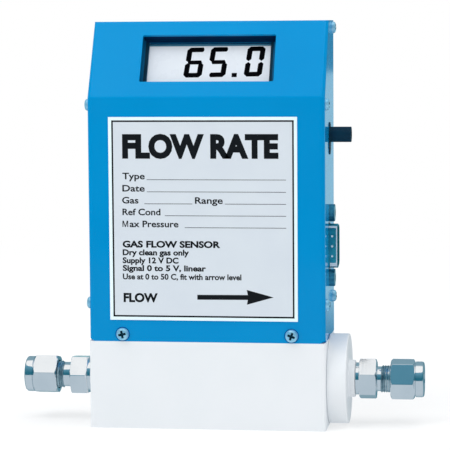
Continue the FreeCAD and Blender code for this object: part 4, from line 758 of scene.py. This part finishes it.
def labelPrint():
    left, right, low, high = label["outer"]
    inset, line, thick = label["inset"], label["line"], label["thick"]
    field = bmesh.new()
    bar(field, left + inset + line, right - inset - line, low + inset + line, high - inset - line,
        thick * 0.5, labelPlace)
    placePrint(field, "labelField", "label_field", "label_film")
    ink = bmesh.new()
    a, b, c, d = left + inset, right - inset, low + inset, high - inset
    for corners in (((a, c), (b, c), (b - line, c + line), (a + line, c + line)),
                    ((b, c), (b, d), (b - line, d - line), (b - line, c + line)),
                    ((b, d), (a, d), (a + line, d - line), (b - line, d - line)),
                    ((a, d), (a, c), (a + line, c + line), (a + line, d - line))):
        slab(ink, corners, 0, thick, labelPlace)
    base = thick * 0.5
    for first, last, height in label["rules"]:
        bar(ink, first, last, height, height + label["rule"], thick, labelPlace, base)
    words, start, height, cap, wide, weight = label["title"]
    setWords(ink, words, start, height, cap, wide, weight, labelPlace, base)
    for words, start, height, cap, wide in label["fields"]:
        setWords(ink, words, start, height, cap, wide, label["fieldWeight"], labelPlace, base)
    start, height, wide, tall, stroke = label["bigM"]
    half = start + wide / 2
    slab(ink, [(start, height), (start + stroke, height), (start + stroke, height + tall * 0.75),
               (half - stroke * 0.45, height), (half + stroke * 0.45, height),
               (start + wide - stroke, height + tall * 0.75), (start + wide - stroke, height),
               (start + wide, height), (start + wide, height + tall),
               (start + wide - stroke * 1.35, height + tall), (half, height + tall * 0.25),
               (start + stroke * 1.35, height + tall), (start, height + tall)],
         base, base + thick, labelPlace)
    for words, start, height, cap, wide, weight in label["lines"] + [label["flow"]]:
        setWords(ink, words, start, height, cap, wide, weight, labelPlace, base)
    slab(ink, list(label["arrow"]), base, base + thick, labelPlace)
    placePrint(ink, "labelInk", "label_ink", "label_film")


labelPrint()
print("label printed")


# digits on the display

tilt = math.radians(30)
crease = {"y": -19.0, "z": 126.5}    # where the front folds back into the tilted face, mm
slopePlace = Matrix(((1, 0, 0, 0), (0, math.sin(tilt), -math.cos(tilt), crease["y"] * mm),
                     (0, math.cos(tilt), math.sin(tilt), crease["z"] * mm), (0, 0, 0, 1)))
display = {
    "face": -5.0, "low": 11.1, "high": 24.1, "stroke": 2.0, "gap": 0.0, "split": 0.2, "cut": 1.15,
    "lean": 0.082, "climb": 0.015, "thick": 0.02,
    "digits": [("6", -9.8, 7.1), ("5", -0.7, 7.1), ("0", 13.4, 6.9)], "dot": (8.85, 10.85, 11.25, 13.05),
    "mask": [(-24.95, -23.65, 7.9, 25.9), (23.35, 24.4, 7.9, 25.9)], "lip": -4.2,
    "margin": (-23.65, 23.35, 24.75, 25.6), "shadow": (-23.65, 23.35, 25.6, 25.9),
    "lipShade": (-24.95, 24.95, 25.93, 26.85), "wallShade": (-25.4, 25.4, 26.87, 26.9),
    "wallFrom": -4.1, "wallDeep": 2.9,
}
segments = {"6": "afgecd", "5": "afgcd", "0": "abcdef"}


def segmentShape(key, x0, x1, y0, y1, lit):
    # centre lines x0, x1, y0, y1 of the digit; its outer corners are cut at 45 degrees, its free ends rounded
    half, gap, split, cut = display["stroke"] / 2, display["gap"], display["split"], display["cut"]
    middle = (y0 + y1) / 2
    if key == "g":
        half *= 0.86
        return [(x0 - 0.1 * half, middle), (x0 + 0.4 * half, middle - half), (x1 - 0.3 * half, middle - half),
                (x1 + 0.5 * half, middle - 0.3 * half), (x1 - 0.2 * half, middle + half),
                (x0 + 0.4 * half, middle + half)]
    mitre = half - cut / 2
    if key in "ad":
        y, flip = (y1, 1) if key == "a" else (y0, -1)
        start = [(x0 + half + gap, y - flip * half), (x0 - mitre + gap, y + flip * mitre),
                 (x0 - half + cut + gap, y + flip * half)]
        stop = [(x1 + half - cut - gap, y + flip * half), (x1 + mitre - gap, y + flip * mitre),
                (x1 - half - gap, y - flip * half)]
        if key == "d" and "e" not in lit:
            start = [(x0 + 0.35 * half, y - flip * half), (x0 - 0.1 * half, y - 0.4 * flip * half),
                     (x0 - 0.1 * half, y + 0.4 * flip * half), (x0 + 0.35 * half, y + flip * half)]
        if key == "a" and "b" not in lit:
            stop = [(x1, y + flip * half), (x1 + 0.4 * half, y + 0.4 * flip * half),
                    (x1 + 0.4 * half, y - 0.4 * flip * half), (x1, y - flip * half)]
        return start + stop
    x, side = (x0, -1) if key in "fe" else (x1, 1)
    y, flip = (y1, 1) if key in "fb" else (y0, -1)
    near = middle + flip * split
    return [(x, near), (x + side * half, near + flip * half * 0.8),
            (x + side * half, y + flip * (half - cut - gap)), (x + side * mitre, y + flip * (mitre - gap)),
            (x - side * half, y - flip * (half + gap)),
            (x - side * half, near + flip * half * 0.8)]


def digitPrint():
    work = bmesh.new()
    face, low, high = display["face"], display["low"], display["high"]
    half, thick = display["stroke"] / 2, display["thick"]
    for digit, left, wide in display["digits"]:
        for key in segments[digit]:
            shape = segmentShape(key, left + half, left + wide - half, low + half, high - half,
                                 segments[digit])
            over = 0.01 if key == "g" else 0.0
            slab(work, [(x + (y - low) * display["lean"], y + (x + 9) * display["climb"]) for x, y in shape],
                 face, face + thick + over, slopePlace)
    x0, x1, y0, y1 = display["dot"]
    slab(work, [(x0, y0), (x1, y0), (x1, y1), (x0, y1)], face, face + thick, slopePlace)
    placePrint(work, "displayDigits", "segment_black", "display_glass")


def thinPlates(name, finish, slotName, plates, place):
    # plates from left, right, low, high, base and thickness
    work = bmesh.new()
    for left, right, low, high, base, thick in plates:
        bar(work, left, right, low, high, thick, place, base)
    placePrint(work, name, finish, slotName)


# the dark edge beside the crystal, painted shade on its upper margin and painted shade under the window's
# upper edge
thinPlates("windowMask", "mask_dark", "display_black",
           [plate + (display["lip"], 0.03) for plate in display["mask"]], slopePlace)
thinPlates("crystalMarginShade", "margin_teal", "display_glass",
           [display["margin"] + (display["face"], 0.015)], slopePlace)
thinPlates("windowShade", "shade_navy", "display_black",
           [display["shadow"] + (display["face"], 0.02),
            display["lipShade"] + (display["lip"], 0.04),
            display["wallShade"] + (display["wallFrom"], display["wallDeep"])], slopePlace)
digitPrint()
print("digits placed")


# painted highlights on the connector shell's rim and dimples, a painted dark edge beside the rim, painted
# shade around the front screws

trim = {"side": -3.5,
        "rim": [(48.0, 48.42, 61.2, 76.7), (45.25, 48.0, 75.95, 76.7), (45.7, 48.0, 61.2, 62.5)],
        "edge": (48.44, 48.59, 60.9, 76.9), "dimple": 0.42,
        "dimples": [(46.5, 65.04), (46.5, 68.9), (46.5, 72.76)], "shade": 2.8, "front": -19.0,
        "plate": (0.0, 0.03), "highlightDisc": (-0.15, 0.18), "shadeDisc": (0.0, 0.02)}    # base and thickness


def roundPlates(name, finish, slotName, spots, radius, heights, place):
    work = bmesh.new()
    base, thick = heights
    turns = [math.pi * step / 20 for step in range(40)]
    for across, up in spots:
        slab(work, [(across + radius * math.cos(turn), up + radius * math.sin(turn)) for turn in turns],
             base, base + thick, place)
    placePrint(work, name, finish, slotName)


sidePlace = uprightPlace(trim["side"])
# painted highlight: bright plates along the shell's rim
thinPlates("shellRimHighlight", "rim_bright", "connector_tin", [at + trim["plate"] for at in trim["rim"]], sidePlace)
# painted shade: a dark line along the shell's outer edge
thinPlates("shellEdgeShade", "mask_dark", "connector_tin", [trim["edge"] + trim["plate"]], sidePlace)
# painted highlights: bright discs standing in for glints inside the shell's dimples
roundPlates("dimpleHighlights", "rim_bright", "connector_tin",
            trim["dimples"], trim["dimple"], trim["highlightDisc"], sidePlace)
# painted shade: dark discs around the front screw heads
roundPlates("screwShade", "screw_shade", "screw_steel", [(x, z) for x, y, z in screws["frontScrews"]["at"]],
            trim["shade"], trim["shadeDisc"], uprightPlace(trim["front"]))
print("trim placed")


# floor, studio light and camera

studio = {
    "sky": 0.9, "wallRadius": 0.6, "wallHeight": 0.78, "wallReach": 105, "wallSteps": 32,
    "wallLow": (0.02, 0.15, 0.22, 1), "wallHigh": (0.13, 0.33, 0.45, 1),
    "behind": (0.07, 0.2, 0.26, 1), "behindHigh": (0.24, 0.38, 0.46, 1), "behindFade": (0.15, 0.4),
    "floorFront": (0.52, 0.61, 0.68, 1), "floorBackShade": (0.1, 0.25, 0.32, 1), "floorFar": (0.48, 0.72, 0.76, 1),
    "floorSize": 6.0, "floorGlow": (0.12, 0.7, 0.55), "floorBands": (-0.1, 0.9),
    "lamps": [("keyLight", (-0.6, -0.6, 1.3), 0.9, 6.0), ("topLight", (0.3, -0.1, 1.5), 1.2, 5.0)],
    "aim": (0, 0, 0.08), "lens": 172.4,
    # where the photograph was taken from, fitted to the outline
    "cameraPlace": ((0.99062, -0.00550, 0.13650, 0.11835), (0.13642, 0.09319, -0.98626, -0.82103),
                    (-0.00730, 0.99563, 0.09307, 0.15400), (0, 0, 0, 1)),
}


def colourSockets(sockets):
    return [socket for socket in sockets if socket.type == "RGBA"]


def makeFloor():
    work = bmesh.new()
    bmesh.ops.create_grid(work, x_segments=8, y_segments=8, size=studio["floorSize"])
    mesh = meshFrom(work, "floor")
    floor = newObject("floor", mesh)
    material = bpy.data.materials.new("paleFloor")
    material.use_nodes = True
    tree = material.node_tree
    link = tree.links.new
    shader = tree.nodes["Principled BSDF"]
    shader.inputs["Base Color"].default_value = (0.95, 0.955, 0.96, 1)
    shader.inputs["Roughness"].default_value = 0.7
    shader.inputs["Specular IOR Level"].default_value = 0.2
    place = addNode(tree, "ShaderNodeTexCoord")
    length = addNode(tree, "ShaderNodeVectorMath", operation="LENGTH")
    link(place.outputs["Object"], length.inputs[0])
    span = addNode(tree, "ShaderNodeMapRange", interpolation_type="SMOOTHSTEP")
    near, far, least = studio["floorGlow"]
    span.inputs["From Min"].default_value = near
    span.inputs["From Max"].default_value = far
    span.inputs["To Min"].default_value = least
    link(length.outputs["Value"], span.inputs["Value"])
    glow = addNode(tree, "ShaderNodeEmission")
    glow.inputs["Color"].default_value = (1, 1, 1, 1)
    mix = addNode(tree, "ShaderNodeMixShader")
    link(span.outputs["Result"], mix.inputs["Fac"])
    link(shader.outputs["BSDF"], mix.inputs[1])
    link(glow.outputs["Emission"], mix.inputs[2])
    # shiny parts see a greyer floor, with painted shade on it just behind the object
    dim = addNode(tree, "ShaderNodeEmission")
    parts = addNode(tree, "ShaderNodeSeparateXYZ")
    link(place.outputs["Object"], parts.inputs["Vector"])
    bands = addNode(tree, "ShaderNodeMapRange")
    bands.inputs["From Min"].default_value = studio["floorBands"][0]
    bands.inputs["From Max"].default_value = studio["floorBands"][1]
    link(parts.outputs["Y"], bands.inputs["Value"])
    ramp = addNode(tree, "ShaderNodeValToRGB")
    while len(ramp.color_ramp.elements) < 4:
        ramp.color_ramp.elements.new(0.5)
    stops = ((0.1, "floorFront"), (0.125, "floorBackShade"), (0.33, "floorBackShade"), (0.5, "floorFar"))
    for element, (spot, colour) in zip(ramp.color_ramp.elements, stops):
        element.position = spot
        element.color = studio[colour]
    link(bands.outputs["Result"], ramp.inputs["Fac"])
    link(ramp.outputs["Color"], dim.inputs["Color"])
    path = addNode(tree, "ShaderNodeLightPath")
    choose = addNode(tree, "ShaderNodeMixShader")
    link(path.outputs["Is Glossy Ray"], choose.inputs["Fac"])
    link(mix.outputs["Shader"], choose.inputs[1])
    link(dim.outputs["Emission"], choose.inputs[2])
    link(choose.outputs["Shader"], tree.nodes["Material Output"].inputs["Surface"])
    mesh.materials.append(material)


def makeWorld():
    world = bpy.data.worlds.new("studio")
    scene.world = world
    world.use_nodes = True
    tree = world.node_tree
    link = tree.links.new
    plain = tree.nodes["Background"]
    path = addNode(tree, "ShaderNodeLightPath")
    span = addNode(tree, "ShaderNodeMapRange")
    span.inputs["To Min"].default_value = studio["sky"]
    span.inputs["To Max"].default_value = 1.0
    link(path.outputs["Is Camera Ray"], span.inputs["Value"])
    plain.inputs["Color"].default_value = (1, 1, 1, 1)
    link(span.outputs["Result"], plain.inputs["Strength"])
    # a soft box overhead and a dim room behind, seen by shiny parts only
    place = addNode(tree, "ShaderNodeTexCoord")
    parts = addNode(tree, "ShaderNodeSeparateXYZ")
    link(place.outputs["Generated"], parts.inputs["Vector"])
    fade = addNode(tree, "ShaderNodeMapRange", interpolation_type="SMOOTHSTEP")
    fade.inputs["From Min"].default_value = studio["behindFade"][0]
    fade.inputs["From Max"].default_value = studio["behindFade"][1]
    link(parts.outputs["Y"], fade.inputs["Value"])
    room = addNode(tree, "ShaderNodeMix", data_type="RGBA")
    shades = colourSockets(room.inputs)
    shades[0].default_value = (1.0, 1.0, 1.0, 1)
    link(fade.outputs["Result"], room.inputs["Factor"])
    rise = addNode(tree, "ShaderNodeMapRange")
    rise.inputs["From Min"].default_value = studio["behindFade"][0]
    rise.inputs["From Max"].default_value = studio["behindFade"][1]
    link(parts.outputs["Z"], rise.inputs["Value"])
    back = addNode(tree, "ShaderNodeMix", data_type="RGBA")
    low, high = colourSockets(back.inputs)
    low.default_value = studio["behind"]
    high.default_value = studio["behindHigh"]
    link(rise.outputs["Result"], back.inputs["Factor"])
    link(colourSockets(back.outputs)[0], shades[1])
    shiny = addNode(tree, "ShaderNodeBackground")
    link(colourSockets(room.outputs)[0], shiny.inputs["Color"])
    choose = addNode(tree, "ShaderNodeMixShader")
    link(path.outputs["Is Glossy Ray"], choose.inputs["Fac"])
    link(plain.outputs["Background"], choose.inputs[1])
    link(shiny.outputs["Background"], choose.inputs[2])
    link(choose.outputs["Shader"], tree.nodes["World Output"].inputs["Surface"])


def makeCard():
    # a dark round screen in front, behind the camera, that only shiny parts see
    steps, reach = studio["wallSteps"], math.radians(studio["wallReach"])
    work = bmesh.new()
    low, high = [], []
    for step in range(steps + 1):
        angle = -reach + 2 * reach * step / steps
        x, y = studio["wallRadius"] * math.sin(angle), -studio["wallRadius"] * math.cos(angle)
        low.append(work.verts.new((x, y, 0)))
        high.append(work.verts.new((x, y, studio["wallHeight"])))
    for at in range(steps):
        work.faces.new((low[at], low[at + 1], high[at + 1], high[at]))
    mesh = meshFrom(work, "darkScreen")
    card = newObject("darkScreen", mesh)
    material = bpy.data.materials.new("screenCloth")
    material.use_nodes = True
    tree = material.node_tree
    link = tree.links.new
    tree.nodes.remove(tree.nodes["Principled BSDF"])
    place = addNode(tree, "ShaderNodeTexCoord")
    parts = addNode(tree, "ShaderNodeSeparateXYZ")
    link(place.outputs["Object"], parts.inputs["Vector"])
    span = addNode(tree, "ShaderNodeMapRange")
    span.inputs["From Min"].default_value = 0.15
    span.inputs["From Max"].default_value = studio["wallHeight"] * 0.85
    link(parts.outputs["Z"], span.inputs["Value"])
    shade = addNode(tree, "ShaderNodeMix", data_type="RGBA")
    shades = colourSockets(shade.inputs)
    shades[0].default_value = studio["wallLow"]
    shades[1].default_value = studio["wallHigh"]
    link(span.outputs["Result"], shade.inputs["Factor"])
    glow = addNode(tree, "ShaderNodeEmission")
    link(colourSockets(shade.outputs)[0], glow.inputs["Color"])
    link(glow.outputs["Emission"], tree.nodes["Material Output"].inputs["Surface"])
    mesh.materials.append(material)
    card.visible_camera = False
    card.visible_diffuse = False
    card.visible_shadow = False
    card.visible_transmission = False


def makeLights():
    for name, spot, size, power in studio["lamps"]:
        data = bpy.data.lights.new(name, "AREA")
        data.shape = "DISK"
        data.size = size
        data.energy = power
        lamp = bpy.data.objects.new(name, data)
        scene.collection.objects.link(lamp)
        aim = Vector(studio["aim"]) - Vector(spot)
        lamp.rotation_euler = aim.to_track_quat("-Z", "Y").to_euler()
        lamp.location = spot
        lamp.visible_glossy = False


def makeCamera():
    data = bpy.data.cameras.new("camera")
    data.sensor_width = 36
    data.lens = studio["lens"]
    data.clip_start = 0.01
    data.clip_end = 50
    camera = bpy.data.objects.new("camera", data)
    scene.collection.objects.link(camera)
    camera.matrix_world = Matrix(studio["cameraPlace"])
    scene.camera = camera


makeFloor()
makeWorld()
makeCard()
makeLights()
makeCamera()
scene.view_settings.view_transform = "Standard"
scene.view_settings.look = "None"
print("studio ready")
